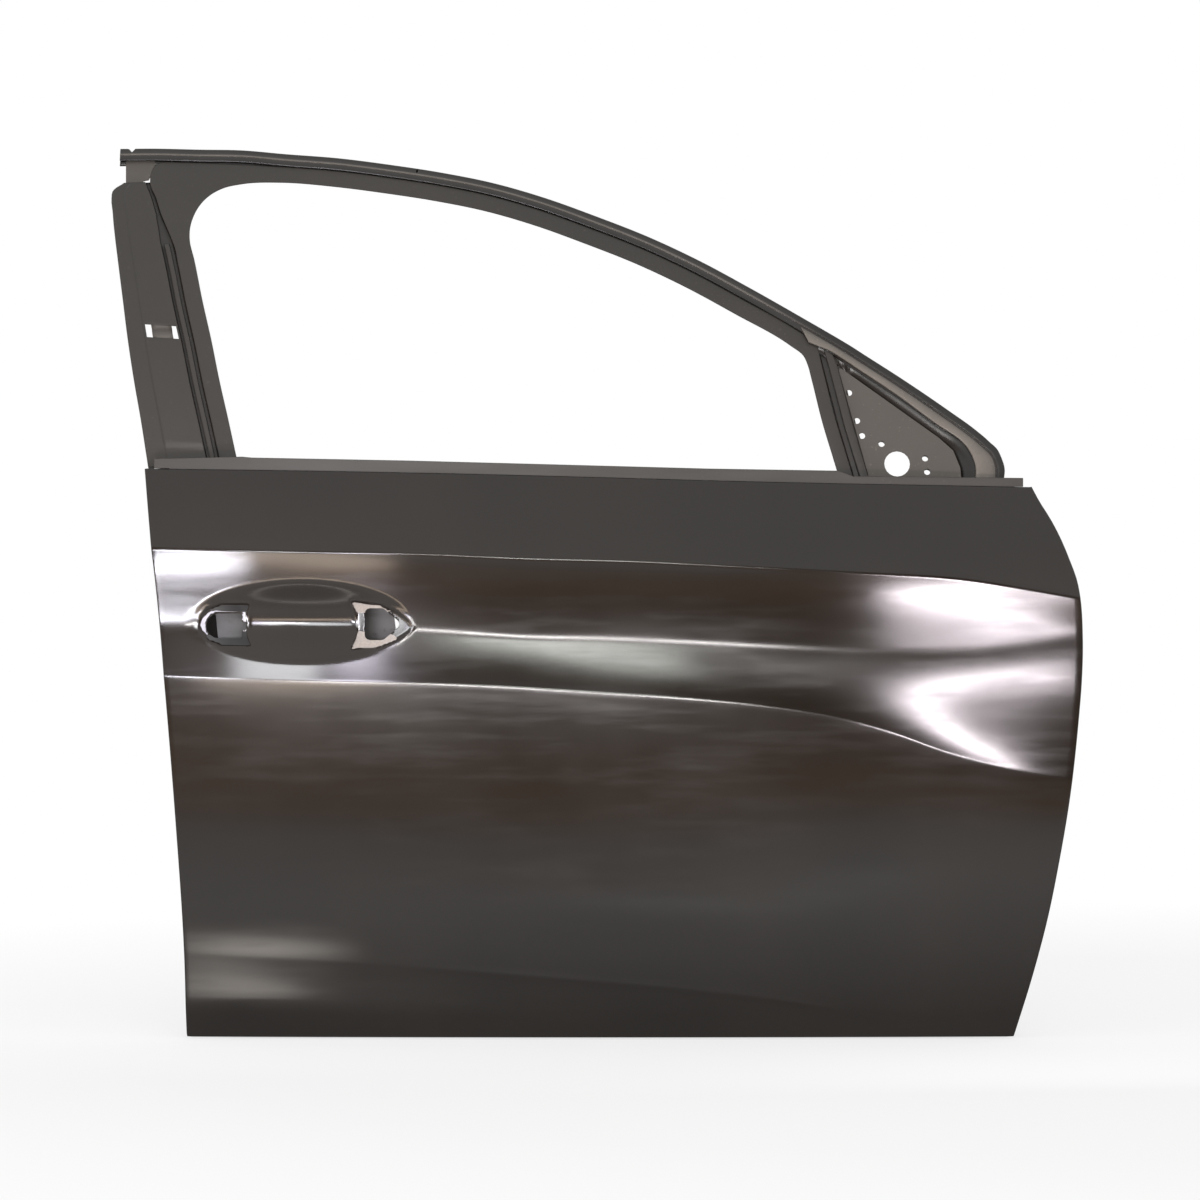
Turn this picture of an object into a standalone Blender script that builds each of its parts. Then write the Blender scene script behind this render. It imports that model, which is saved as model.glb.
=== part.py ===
"""Front side door shell of a passenger car, as bare stamped and welded sheet metal.

Metres, +X towards the front of the car, +Y towards the cabin, +Z up. The origin is the centre of
the flat face that the upper hinge bolts to.
"""

import math

import bmesh
import bpy
import numpy as np
from mathutils import Vector

# Whole door
DOOR_LENGTH = 1.093
FRONT_OVERHANG = 0.0278
BODY_HEIGHT = 0.6635
SILL_DROP = 0.522
FRAME_RISE = 0.391
SIDE_BULGE = 0.060
BOW_FRONT = 0.015
BOW_REAR = 0.012

# Sheet metal
SKIN_THICKNESS = 0.0008
INNER_THICKNESS = 0.0009
FRAME_THICKNESS = 0.0012
BRACKET_THICKNESS = 0.0016
HINGE_PLATE_THICKNESS = 0.0025
CLEARANCE = 0.0003
OVERRUN = 0.012

# Hemmed edge
HEM_WIDTH = 0.012
HEM_RETURN = 0.0095
HEM_SETBACK = 0.0014

# Inner panel
SHUT_INSET = 0.022
SEAL_INSET = 0.044
TRIM_INSET = 0.058
SHUT_FOOT = 0.007
SEAL_FACE_Y = 0.035
TRIM_FACE_Y = 0.060
SHUT_CORNER = 0.050
TRIM_CORNER = 0.075
SILL_WALL_INSET = 0.020
PAD_BLEND = 0.012

# Hinge, latch and check link places on the shut faces
SHUT_MIDDLE_Y = 0.0
HINGE_PAD_HALF = 0.034
LOWER_HINGE_SHARE = 0.7222
LOWER_HINGE_SETBACK = 0.033
HINGE_BOLT_PITCH = 0.036
HINGE_BOLT_HOLE = 0.011
HINGE_PLATE_DEPTH = 0.046
HINGE_PLATE_RETURN = 0.034
LATCH_HALF_HEIGHT = 0.055
LATCH_SLOT_HEIGHT = 0.060
LATCH_SLOT_DEPTH = 0.034
LATCH_SCREW_HOLE = 0.009
LATCH_SCREW_REACH = 0.041
CHECK_DROP = 0.125
CHECK_SLOT_HEIGHT = 0.030
CHECK_SLOT_WIDTH = 0.018
CHECK_BOLT_PITCH = 0.050
CHECK_BOLT_HOLE = 0.008
NUT_RADIUS = 0.0085
NUT_HEIGHT = 0.0065
NUT_BORE = 0.0042

# Window frame
FRAME_FACE_Y = -0.010
GLASS_LEAN_SHARE = 0.15
GLASS_RADIUS = 0.9
FRAME_BAND = 0.0195
FRAME_DEPTH = 0.026
FRAME_LIP = 0.006
FRAME_BAND_STEP = 0.003
LEG_STATIONS = 3
FOOT_SHARE = 0.128
FOOT_WIDTH = 0.024
RAIL_WIDTH = 0.0145
RAIL_GAP = 0.0008
RAIL_DEPTH = 0.024
RAIL_BEAD = 0.0012
RIB_WIDTH = 0.0055
RIB_GAP = 0.004
GROOVE = 0.005
GROOVE_DEPTH = 0.009
PLATE_EDGE = 0.018
PLATE_FLANGE = 0.014
PLATE_STEP = 0.002
PLATE_SLOT_HEIGHT = 0.018
NOTCH_WIDTH = 0.008
NOTCH_DEPTH = 0.006
BRACE_LAP = 0.0055
MIRROR_GROOVE = 0.007
MIRROR_RIB = 0.009
MIRROR_LAP = 0.004
MIRROR_SEAT = 0.006
MIRROR_THICKNESS = 0.002
MIRROR_CORNER = 0.002
MIRROR_STUD_HOLE = 0.0075
MIRROR_WIRE_HOLE = 0.030

# Belt
BELT_OFFSET = 0.008
BELT_FLANGE_DROP = 0.020
BELT_WEB_DROP = 0.026
BELT_FOOT_DROP = 0.052
INNER_BELT_GAP = 0.004
INNER_BELT_FLANGE = 0.010
INNER_BELT_HEIGHT = 0.046
INNER_BELT_DEPTH = 0.018

# Glass guide channels below the belt
GUIDE_WIDTH = 0.016
GUIDE_DEPTH = 0.012
GUIDE_SHARE = 0.512

# Handle recess in the skin
BOWL_LENGTH = 0.262
BOWL_HEIGHT = 0.098
BOWL_DEPTH = 0.020
LATCH_OPENING_LENGTH = 0.046
LATCH_OPENING_HEIGHT = 0.029
GRIP_OPENING_LENGTH = 0.044
GRIP_OPENING_HEIGHT = 0.037

# Impact beam
BEAM_DIAMETER = 0.032
BEAM_WALL = 0.0022
BEAM_BRACKET_LENGTH = 0.080
BEAM_BRACKET_HEIGHT = 0.056
BEAM_BRACKET_GAP = 0.004
BEAM_SKIN_GAP = 0.014
PAD_DIAMETER = 0.026

# Trim face openings
SPEAKER_DIAMETER = 0.150
SPEAKER_STEP = 0.009
SPEAKER_RECESS = 0.004
ACCESS_CORNER = 0.045
SERVICE_HOLE = 0.022

# Cross levels of the skin, from the sill up: height shares of BODY_HEIGHT along the door length
SILL_SHARES = [(0.0, 0.0), (1.0, 0.0)]
ROCKER_SHARES = [
    (0.0, 0.150), (0.253, 0.129), (0.418, 0.108), (0.568, 0.087),
    (0.669, 0.068), (0.769, 0.048), (0.835, 0.038), (1.0, 0.036),
]
CREASE_SHARES = [
    (0.0, 0.637), (0.168, 0.629), (0.338, 0.622), (0.494, 0.607), (0.580, 0.598), (0.665, 0.584),
    (0.741, 0.563), (0.801, 0.535), (0.855, 0.502), (0.908, 0.478), (1.0, 0.452),
]
VALLEY_SHARES = [
    (0.0, 0.726), (0.295, 0.717), (0.409, 0.705), (0.494, 0.702), (0.580, 0.696),
    (0.693, 0.687), (0.805, 0.680), (0.890, 0.682), (1.0, 0.700),
]
SHOULDER_SHARES = [
    (0.0, 0.860), (0.168, 0.853), (0.295, 0.849), (0.409, 0.841), (0.523, 0.836),
    (0.636, 0.827), (0.741, 0.818), (0.883, 0.803), (0.950, 0.785), (1.0, 0.771),
]
BELT_SHARES = [(0.0, 1.0), (0.126, 0.9974), (0.338, 0.9908), (0.677, 0.9761), (1.0, 0.966)]

# Outboard reach of each level in shares of SIDE_BULGE
SILL_REACH_SHARES = [(0.0, 0.37), (1.0, 0.37)]
ROCKER_REACH_SHARES = [(0.0, 0.53), (0.57, 0.52), (0.80, 0.43), (1.0, 0.42)]
CREASE_REACH_SHARES = [(0.0, 0.92), (0.55, 0.91), (0.80, 0.90), (1.0, 0.90)]
VALLEY_REACH_SHARES = [(0.0, 0.83), (0.55, 0.82), (0.80, 0.86), (1.0, 0.93)]
SHOULDER_REACH_SHARES = [(0.0, 1.0), (1.0, 1.0)]
BELT_REACH_SHARES = [(0.0, 0.58), (1.0, 0.58)]

# Slope just below and just above each level, inboard per rise
SILL_SLOPE_SHARES = ([(0.0, -0.20), (1.0, -0.20)], [(0.0, -0.20), (1.0, -0.20)])
ROCKER_SLOPE_SHARES = (
    [(0.0, -0.11), (0.20, -0.12), (0.40, -0.17), (0.70, -0.17), (0.85, -0.12), (1.0, -0.11)],
    [(0.0, -0.11), (1.0, -0.11)],
)
CREASE_SLOPE_SHARES = (
    [(0.0, -0.03), (1.0, -0.03)],
    [(0.0, 0.15), (0.65, 0.15), (0.90, 0.06), (1.0, 0.0)],
)
VALLEY_SLOPE_SHARES = ([(0.0, 0.0), (1.0, 0.0)], [(0.0, 0.0), (1.0, 0.0)])
SHOULDER_SLOPE_SHARES = (
    [(0.0, -0.25), (0.60, -0.25), (0.85, -0.16), (1.0, -0.10)],
    [(0.0, 0.22), (1.0, 0.22)],
)
BELT_SLOPE_SHARES = ([(0.0, 0.30), (1.0, 0.30)], [(0.0, 0.30), (1.0, 0.30)])

# Side edges of the skin: (height share, length share)
REAR_EDGE_SHARES = [
    (0.0, 0.0444), (0.175, 0.0417), (0.385, 0.0342), (0.594, 0.0247), (0.804, 0.0131), (1.0, 0.0003),
]
FRONT_EDGE_SHARES = [
    (0.0, 0.9289), (0.105, 0.9480), (0.210, 0.9640), (0.315, 0.9761), (0.420, 0.9863),
    (0.490, 0.9916), (0.560, 0.9958), (0.629, 0.9990), (0.699, 1.0), (0.769, 0.9973),
    (0.804, 0.9937), (0.839, 0.9863), (0.874, 0.9778), (0.909, 0.9672), (0.944, 0.9544),
    (0.9685, 0.9469), (1.0, 0.9370),
]

# Rows and columns of the skin's mesh
ROWS_BETWEEN_LEVELS = (0, 6, 3, 5, 3)
HANDLE_COLUMNS = 15
PLAIN_COLUMNS = 13

# Window frame outlines: (length share, share of FRAME_RISE above the belt)
HEADER_REAR_SHARES = [
    (-0.0416, 0.9943), (-0.0086, 0.9953), (0.0464, 0.9920), (0.0938, 0.9894),
]
HEADER_FRONT_SHARES = [
    (0.7471, 0.3878), (0.7556, 0.3731), (0.7705, 0.3455), (0.8087, 0.2753), (0.8617, 0.1721),
    (0.8882, 0.1176), (0.9030, 0.0814), (0.9130, 0.0513), (0.9176, 0.0182), (0.9182, -0.0328),
]
NOTCH_SHARES = (-0.0285, 0.9953)
OPENING_REAR_SHARES = [
    (0.0996, 0.0032), (0.0876, 0.1479), (0.0770, 0.2692), (0.0672, 0.3915), (0.0561, 0.5150),
    (0.0458, 0.6398), (0.0398, 0.7028), (0.0398, 0.7471), (0.0436, 0.7853), (0.0506, 0.8205),
    (0.0610, 0.8493), (0.0749, 0.8703),
]
OPENING_HEAD_SHARES = [
    (0.0922, 0.8815), (0.1382, 0.8870), (0.1963, 0.8735), (0.2513, 0.8529), (0.3061, 0.8282),
    (0.3609, 0.7958), (0.4156, 0.7497), (0.4701, 0.6924), (0.5243, 0.6304), (0.5784, 0.5569),
    (0.6321, 0.4729), (0.6910, 0.3762),
]
OPENING_FRONT_SHARES = [
    (0.7059, 0.3425), (0.7101, 0.3150), (0.7142, 0.2692), (0.7249, 0.1418), (0.7368, 0.0272),
]

# Outer side of the window frame where its band widens: the rear top corner, and ahead of the window
FRAME_CORNER_SHARES = [
    (0.0076, 0.7853), (0.0012, 0.8365), (-0.0064, 0.8880), (0.0002, 0.9398), (0.0309, 0.9414),
    (0.0638, 0.9414),
]
FRAME_FOREMOST_SHARES = [
    (0.7196, 0.3792), (0.7236, 0.3302), (0.7276, 0.2814), (0.7383, 0.1554), (0.7505, 0.0378),
]
PLATE_OUTER_SHARES = [
    (0.0033, 0.0032), (-0.0057, 0.1479), (-0.0143, 0.2692), (-0.0222, 0.3915), (-0.0293, 0.5150),
    (-0.0367, 0.6398), (-0.0405, 0.7028), (-0.0448, 0.7853), (-0.0473, 0.8526), (-0.0348, 0.8848),
]
PLATE_STEP_SHARE = 0.35
PLATE_SLOT_SHARES = (0.0120, 0.4176)
MIRROR_TOP_SHARE = 0.3127
MIRROR_RIB_SHARE = 0.3731
MIRROR_RIB_SLANT = 0.62
MIRROR_BOTTOM_SHARE = -0.0534
MIRROR_FRONT_SHARES = [
    (0.8737, -0.0534), (0.8720, 0.0037), (0.8647, 0.0558), (0.8495, 0.0944),
]
BRACE_EDGE_SHARES = [
    (0.7388, 0.3517), (0.7431, 0.3434), (0.7606, 0.3104), (0.8010, 0.2333), (0.8493, 0.1327),
    (0.8719, 0.0896), (0.8804, 0.0634), (0.8851, 0.0393), (0.8883, 0.0122), (0.8881, -0.0388),
]
BRACE_SEAT_SHARES = [
    (0.7425, 0.3363), (0.7476, 0.3189), (0.7543, 0.2776), (0.7978, 0.1818), (0.8435, 0.0895),
    (0.8588, 0.0549), (0.8656, 0.0247), (0.8682, 0.0007), (0.8686, -0.0204), (0.8686, -0.0444),
]

# Holes of the mirror plate: (share of its length at that height, frame share)
MIRROR_STUD_SHARES = [
    (0.0126, 0.2304), (0.0205, 0.1455), (0.1981, 0.0760), (0.6170, 0.0323),
    (0.6209, -0.0084), (0.0259, 0.1001),
]
MIRROR_WIRE_SHARES = (0.3106, 0.0157)
CORNER_OUTLINE_SHARES = [
    (-0.0351, 0.9724), (-0.0331, 0.8815), (-0.0311, 0.8622), (-0.0146, 0.8622), (-0.0141, 0.8912),
    (-0.0082, 0.8945), (-0.0019, 0.9366), (-0.0027, 0.9724),
]
BELT_STRIP_SHARES = [
    (0.0105, 0.0299), (0.1046, 0.0358), (0.1153, 0.0330), (0.2811, 0.0238), (0.4414, 0.0118),
    (0.6017, -0.0003), (0.7405, -0.0064), (0.7565, -0.0230), (0.9380, -0.0274),
]

# Handle places: (length share, height share)
BOWL_SHARES = (0.168, 0.731)
LATCH_OPENING_SHARES = (0.0884, 0.7240)
GRIP_OPENING_SHARES = (0.2560, 0.7270)
LOCK_TONGUE_SHARE = 0.35

# Trim face openings in shares of the trim face: (length share, height share)
ACCESS_SHARES = [(0.22, 0.84), (0.24, 0.36), (0.56, 0.30), (0.66, 0.52), (0.66, 0.84)]
SPEAKER_SHARES = (0.78, 0.215)
SERVICE_SHARES = [
    (0.10, 0.80), (0.12, 0.55), (0.14, 0.30), (0.36, 0.14), (0.56, 0.14), (0.76, 0.80),
    (0.90, 0.74), (0.86, 0.50),
]

# Inside the door, in shares of the body: (length share, height share)
BEAM_FRONT_SHARE = 0.945
BEAM_FRONT_DROP_SHARE = 0.2146
BEAM_REAR_SHARES = (0.075, 0.30)
BEAM_PAD_SHARES = (0.20, 0.42, 0.64, 0.84)
STIFFENER_SHARES = (0.10, 0.90)
STIFFENER_WIDTH = 0.034
STIFFENER_DEPTH = 0.010
STIFFENER_FLANGE = 0.010
STIFFENER_STATIONS = 15
HANDLE_PLATE_ROWS = (10, 18)

# Armrest bracket, in shares of the trim face
ARMREST_SHARES = (0.46, 0.905)
ARMREST_LENGTH = 0.090
ARMREST_HEIGHT = 0.034
ARMREST_FOOT = 0.014
ARMREST_STANDOFF = 0.022

# Paint: black primer over everything, bare mastic pads
PRIMER_SKIN = (0.020, 0.018, 0.016, 1.0)
PRIMER_INNER = (0.030, 0.028, 0.026, 1.0)
PRIMER_FRAME = (0.045, 0.042, 0.040, 1.0)
MASTIC = (0.10, 0.10, 0.10, 1.0)


def along(share):
    """Place on the door's length, from its rear end at 0 to its foremost edge at 1."""
    return FRONT_OVERHANG - DOOR_LENGTH * (1 - share)


def body_height(share):
    """Height on the door body, from the lower edge at 0 to the rear end of the belt at 1."""
    return BODY_HEIGHT * share - SILL_DROP


def frame_height(share):
    """Height on the window frame, from the belt at 0 to the top of the header at 1."""
    return body_height(1) + FRAME_RISE * share


def frame_points(shares):
    return [(along(a), frame_height(b)) for a, b in shares]


def hermite(start, slope_start, end, slope_end, t):
    """Cubic from start to end with given slopes per unit of t."""
    t2 = t * t
    t3 = t2 * t
    return (
        (2 * t3 - 3 * t2 + 1) * start
        + (t3 - 2 * t2 + t) * slope_start
        + (3 * t2 - 2 * t3) * end
        + (t3 - t2) * slope_end
    )


def smooth(table, place):
    """Value at a place on a smooth curve through a table of (place, value) pairs."""
    places, values = np.array(table).T
    slopes = np.gradient(values, places)
    i = int(np.clip(np.searchsorted(places, place) - 1, 0, len(places) - 2))
    span = places[i + 1] - places[i]
    t = min(max((place - places[i]) / span, 0.0), 1.0)
    return float(hermite(values[i], slopes[i] * span, values[i + 1], slopes[i + 1] * span, t))


def straight(table, place):
    """Value at a place on straight lines through a table of (place, value) pairs."""
    places, values = np.array(table).T
    return float(np.interp(place, places, values))


LEVELS = (
    (SILL_SHARES, SILL_REACH_SHARES, SILL_SLOPE_SHARES),
    (ROCKER_SHARES, ROCKER_REACH_SHARES, ROCKER_SLOPE_SHARES),
    (CREASE_SHARES, CREASE_REACH_SHARES, CREASE_SLOPE_SHARES),
    (VALLEY_SHARES, VALLEY_REACH_SHARES, VALLEY_SLOPE_SHARES),
    (SHOULDER_SHARES, SHOULDER_REACH_SHARES, SHOULDER_SLOPE_SHARES),
    (BELT_SHARES, BELT_REACH_SHARES, BELT_SLOPE_SHARES),
)


def level_height(level, share):
    return body_height(smooth(LEVELS[level][0], share))


def bow(share):
    """How far the side turns inboard towards the front and rear ends in plan."""
    ahead = max(2 * share - 1, 0.0)
    behind = max(1 - 2 * share, 0.0)
    return BOW_FRONT * ahead * ahead + BOW_REAR * behind * behind


def bowl(x, z):
    """Depth of the handle recess: an oval dish with a soft rim."""
    across = (x - along(BOWL_SHARES[0])) / (BOWL_LENGTH / 2)
    up = (z - body_height(BOWL_SHARES[1])) / (BOWL_HEIGHT / 2)
    inside = 1 - across * across - up * up
    return BOWL_DEPTH * inside**1.5 if inside > 0 else 0.0


def plain_side(x, z):
    """The skin's outer face without the handle recess: cubics between the cross levels."""
    share = 1 - (FRONT_OVERHANG - x) / DOOR_LENGTH
    share = min(max(share, 0.0), 1.0)
    heights = [level_height(k, share) for k in range(len(LEVELS))]
    k = int(np.clip(np.searchsorted(heights, z) - 1, 0, len(LEVELS) - 2))
    rise = heights[k + 1] - heights[k]
    low = -SIDE_BULGE * smooth(LEVELS[k][1], share)
    high = -SIDE_BULGE * smooth(LEVELS[k + 1][1], share)
    slope_low = straight(LEVELS[k][2][1], share)
    slope_high = straight(LEVELS[k + 1][2][0], share)
    t = (z - heights[k]) / rise
    return hermite(low, slope_low * rise, high, slope_high * rise, t) + bow(share)


def side(x, z):
    return plain_side(x, z) + bowl(x, z)


def rear_edge(z):
    return along(smooth(REAR_EDGE_SHARES, (z + SILL_DROP) / BODY_HEIGHT))


def front_edge(z):
    return along(smooth(FRONT_EDGE_SHARES, (z + SILL_DROP) / BODY_HEIGHT))


def glass_lean(z):
    """How far the side glass surface leans inboard at a height, from zero at the belt."""
    rise = z - frame_height(0)
    return GLASS_LEAN_SHARE * rise + rise * rise / (2 * GLASS_RADIUS)


def frame_face(z):
    return FRAME_FACE_Y + glass_lean(z)


def glass_slope(z):
    """Rise of the glass surface's lean at a height."""
    return GLASS_LEAN_SHARE + (z - frame_height(0)) / GLASS_RADIUS


def material(name, color, roughness, metallic=0.0):
    made = bpy.data.materials.new(name)
    made.use_nodes = True
    surface = made.node_tree.nodes["Principled BSDF"]
    surface.inputs["Base Color"].default_value = color
    surface.inputs["Roughness"].default_value = roughness
    surface.inputs["Metallic"].default_value = metallic
    return made


def new_object(name, mesh, group, surface):
    made = bpy.data.objects.new(name, mesh)
    group.objects.link(made)
    if surface:
        made.data.materials.append(surface)
    return made


def mesh_of(name, bm):
    mesh = bpy.data.meshes.new(name)
    bm.to_mesh(mesh)
    bm.free()
    return mesh


def thicken(made, thickness):
    """Gives an open sheet its wall, half to each side of the modelled surface."""
    wall = made.modifiers.new("wall", "SOLIDIFY")
    wall.thickness = thickness
    wall.offset = 0.0
    wall.use_even_offset = True
    wall.use_quality_normals = True


def add_rows(bm, rows):
    """Faces between rows of points, each row as long as the next. Gives the rows of vertices."""
    made = [[bm.verts.new(point) for point in row] for row in rows]
    for low, high in zip(made, made[1:]):
        for i in range(len(low) - 1):
            bm.faces.new((low[i], low[i + 1], high[i + 1], high[i]))
    return made


def sheet(name, rows, thickness, group, surface):
    """A folded or curved strip of sheet metal through rows of points."""
    bm = bmesh.new()
    add_rows(bm, rows)
    made = new_object(name, mesh_of(name, bm), group, surface)
    thicken(made, thickness)
    return made


def ring_edges(bm, vertices):
    return [bm.edges.new((a, b)) for a, b in zip(vertices, vertices[1:] + vertices[:1])]


def plate(name, loops, height_of, thickness, group, surface):
    """A flat plate with holes: closed (x, z) loops, the outline first."""
    bm = bmesh.new()
    edges = []
    for loop in loops:
        edges += ring_edges(bm, [bm.verts.new((x, height_of(z), z)) for x, z in loop])
    bmesh.ops.triangle_fill(bm, use_beauty=True, edges=edges)
    made = new_object(name, mesh_of(name, bm), group, surface)
    thicken(made, thickness)
    return made


def circle(centre, diameter, count):
    turns = [2 * math.pi * i / count for i in range(count)]
    radius = diameter / 2
    return [(centre[0] + radius * math.cos(t), centre[1] + radius * math.sin(t)) for t in turns]


def rounded(corners, radius, count=4):
    """A closed outline with each corner turned into an arc."""
    points = []
    for i, corner in enumerate(corners):
        here = Vector(corner)
        back = (Vector(corners[i - 1]) - here).normalized()
        ahead = (Vector(corners[(i + 1) % len(corners)]) - here).normalized()
        half = back.angle(ahead) / 2
        reach = radius / math.tan(half)
        centre = here + (back + ahead).normalized() * (radius / math.sin(half))
        first = (here + back * reach - centre).normalized()
        last = (here + ahead * reach - centre).normalized()
        for k in range(count + 1):
            points.append(tuple(centre + first.slerp(last, k / count) * radius))
    return points


def offset_path(points, distance):
    """An open (x, z) path moved sideways, to its left when the distance is positive."""
    moved = []
    for i, point in enumerate(points):
        here = Vector(point)
        back = (here - Vector(points[max(i - 1, 0)])) if i else None
        ahead = (Vector(points[i + 1]) - here) if i < len(points) - 1 else None
        one = (back or ahead).normalized()
        two = (ahead or back).normalized()
        bend = (one + two).normalized()
        left = Vector((-bend.y, bend.x))
        moved.append(tuple(here + left * (distance / max(bend.dot(one), 0.5))))
    return moved


def swept(name, path, section, thickness, group, surface):
    """A section carried along a path on the window frame. A section point is (sideways, inboard)."""
    lines = [(offset_path(path, across), inboard) for across, inboard in section]
    rows = [
        [(x, frame_face(z) + inboard, z) for x, z in line] for line, inboard in lines
    ]
    return sheet(name, rows, thickness, group, surface)


def cut(made, cutter, name):
    """Takes the cutter's shape out of the part."""
    hole = made.modifiers.new(name, "BOOLEAN")
    hole.operation = "DIFFERENCE"
    hole.solver = "EXACT"
    hole.object = cutter


def hidden(made):
    made.hide_render = True
    made.display_type = "WIRE"
    return made


def prism_y(name, loop, low, high, cutters):
    """A cutter of an (x, z) outline that runs across the door from low to high."""
    bm = bmesh.new()
    face = bm.faces.new([bm.verts.new((x, low, z)) for x, z in loop])
    grown = bmesh.ops.extrude_face_region(bm, geom=[face])
    far = [v for v in grown["geom"] if isinstance(v, bmesh.types.BMVert)]
    bmesh.ops.translate(bm, verts=far, vec=(0, high - low, 0))
    bmesh.ops.recalc_face_normals(bm, faces=bm.faces)
    return hidden(new_object(name, mesh_of(name, bm), cutters, None))


def prism_x(name, loop, low, high, cutters):
    """A cutter of a (y, z) outline that runs along the door from low to high."""
    bm = bmesh.new()
    face = bm.faces.new([bm.verts.new((low, y, z)) for y, z in loop])
    grown = bmesh.ops.extrude_face_region(bm, geom=[face])
    far = [v for v in grown["geom"] if isinstance(v, bmesh.types.BMVert)]
    bmesh.ops.translate(bm, verts=far, vec=(high - low, 0, 0))
    bmesh.ops.recalc_face_normals(bm, faces=bm.faces)
    return hidden(new_object(name, mesh_of(name, bm), cutters, None))


def box_loop(centre, width, height):
    half_w = width / 2
    half_h = height / 2
    x, z = centre
    low, high = z - half_h, z + half_h
    return [(x - half_w, low), (x + half_w, low), (x + half_w, high), (x - half_w, high)]


def skin_rows():
    """Each row as (lower level, share of the way to the next), then the hem row's own rule."""
    rows = [(0, 0.0), None]
    for level, count in enumerate(ROWS_BETWEEN_LEVELS):
        if level:
            rows.append((level, 0.0))
        rows += [(level, (k + 1) / (count + 1)) for k in range(count)]
    rows.append((len(LEVELS) - 2, 1.0))
    return rows


def skin_columns():
    """Column places as shares between the two hem columns, closer together at the handle."""
    rear = BOWL_SHARES[0] - BOWL_LENGTH / DOOR_LENGTH / 2
    front = BOWL_SHARES[0] + BOWL_LENGTH / DOOR_LENGTH / 2
    plain = np.linspace(front, 1, PLAIN_COLUMNS + 1)[1:-1]
    return list(np.linspace(rear, front, HANDLE_COLUMNS)) + list(plain)


def skin_point(column, row):
    """The place where a column crosses a row, found by going back and forth between the two."""
    share = 0.5
    for _ in range(6):
        if row is None:
            z = level_height(0, share) + HEM_WIDTH
        else:
            level, part = row
            low = level_height(level, share)
            z = low + (level_height(level + 1, share) - low) * part
        rear = rear_edge(z)
        front = front_edge(z)
        if column == "rear":
            x = rear
        elif column == "rear hem":
            x = rear + HEM_WIDTH
        elif column == "front hem":
            x = front - HEM_WIDTH
        elif column == "front":
            x = front
        else:
            x = rear + (front - rear) * column
        share = min(max(1 - (FRONT_OVERHANG - x) / DOOR_LENGTH, 0.0), 1.0)
    return Vector((x, side(x, z), z))


def skin_grid():
    """Outer face points of the skin, a list of columns from the rear, each from the sill up."""
    columns = ["rear", "rear hem"] + skin_columns() + ["front hem", "front"]
    return [[skin_point(column, row) for row in skin_rows()] for column in columns]


def hem_path(grid):
    """Grid places down the rear edge, along the sill and up the front, with their inner neighbours."""
    last = len(grid) - 1
    top = len(grid[0]) - 1
    edge = [(0, j) for j in range(top, -1, -1)]
    edge += [(i, 0) for i in range(1, last + 1)]
    edge += [(last, j) for j in range(1, top + 1)]
    inner = [(min(max(i, 1), last - 1), max(j, 1)) for i, j in edge]
    return edge, inner


def make_outer_panel(grid, group, cutters, surface):
    """The skin, with its hemmed edge folded round the inner panel and its two handle openings."""
    inboard = Vector((0, 1, 0))
    middle = inboard * (SKIN_THICKNESS / 2)
    fold = inboard * (SKIN_THICKNESS + INNER_THICKNESS + 2 * CLEARANCE)
    bm = bmesh.new()
    points = [[point + middle for point in column] for column in grid]
    vertices = add_rows(bm, points)
    edge, inner = hem_path(grid)
    share = HEM_RETURN / HEM_WIDTH
    outside = [vertices[i][j] for i, j in edge]
    turned = []
    back = []
    for (i, j), (k, m) in zip(edge, inner):
        here = points[i][j]
        turned.append(bm.verts.new(here + fold))
        back.append(bm.verts.new(here.lerp(points[k][m], share) + fold))
    for first, second in ((outside, turned), (turned, back)):
        for a in range(len(first) - 1):
            bm.faces.new((first[a], first[a + 1], second[a + 1], second[a]))
    bmesh.ops.recalc_face_normals(bm, faces=bm.faces)
    made = new_object("outer_panel", mesh_of("outer_panel", bm), group, surface)
    thicken(made, SKIN_THICKNESS)
    low = -SIDE_BULGE - OVERRUN
    high = FRAME_FACE_Y - CLEARANCE
    x = along(LATCH_OPENING_SHARES[0])
    z = body_height(LATCH_OPENING_SHARES[1])
    cut(made, prism_y("latch_opening", latch_outline((x, z)), low, high, cutters), "latch opening")
    x = along(GRIP_OPENING_SHARES[0])
    z = body_height(GRIP_OPENING_SHARES[1])
    cut(made, prism_y("grip_opening", grip_outline((x, z)), low, high, cutters), "grip opening")
    return made


def latch_outline(centre):
    """Opening behind the handle's rear end: a round rear end, straight sides and a small tongue."""
    x, z = centre
    half = LATCH_OPENING_HEIGHT / 2
    start = x - LATCH_OPENING_LENGTH / 2 + half
    front = x + LATCH_OPENING_LENGTH / 2
    tongue = half * LOCK_TONGUE_SHARE
    arc = [
        (start - half * math.cos(t), z + half * math.sin(t))
        for t in (math.pi * (k / 8 - 0.5) for k in range(9))
    ]
    return arc + [
        (front - tongue, z + half), (front - tongue, z + tongue), (front, z + tongue),
        (front, z - tongue), (front - tongue, z - tongue), (front - tongue, z - half),
    ]


def grip_outline(centre):
    """Opening behind the handle's front end: a straight rear side and a blunt front point."""
    x, z = centre
    half = GRIP_OPENING_HEIGHT / 2
    rear = x - GRIP_OPENING_LENGTH / 2
    front = x + GRIP_OPENING_LENGTH / 2
    corners = [(rear, z - half), (x, z - half), (front, z), (x, z + half), (rear, z + half)]
    return rounded(corners, half / 3, 3)


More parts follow.
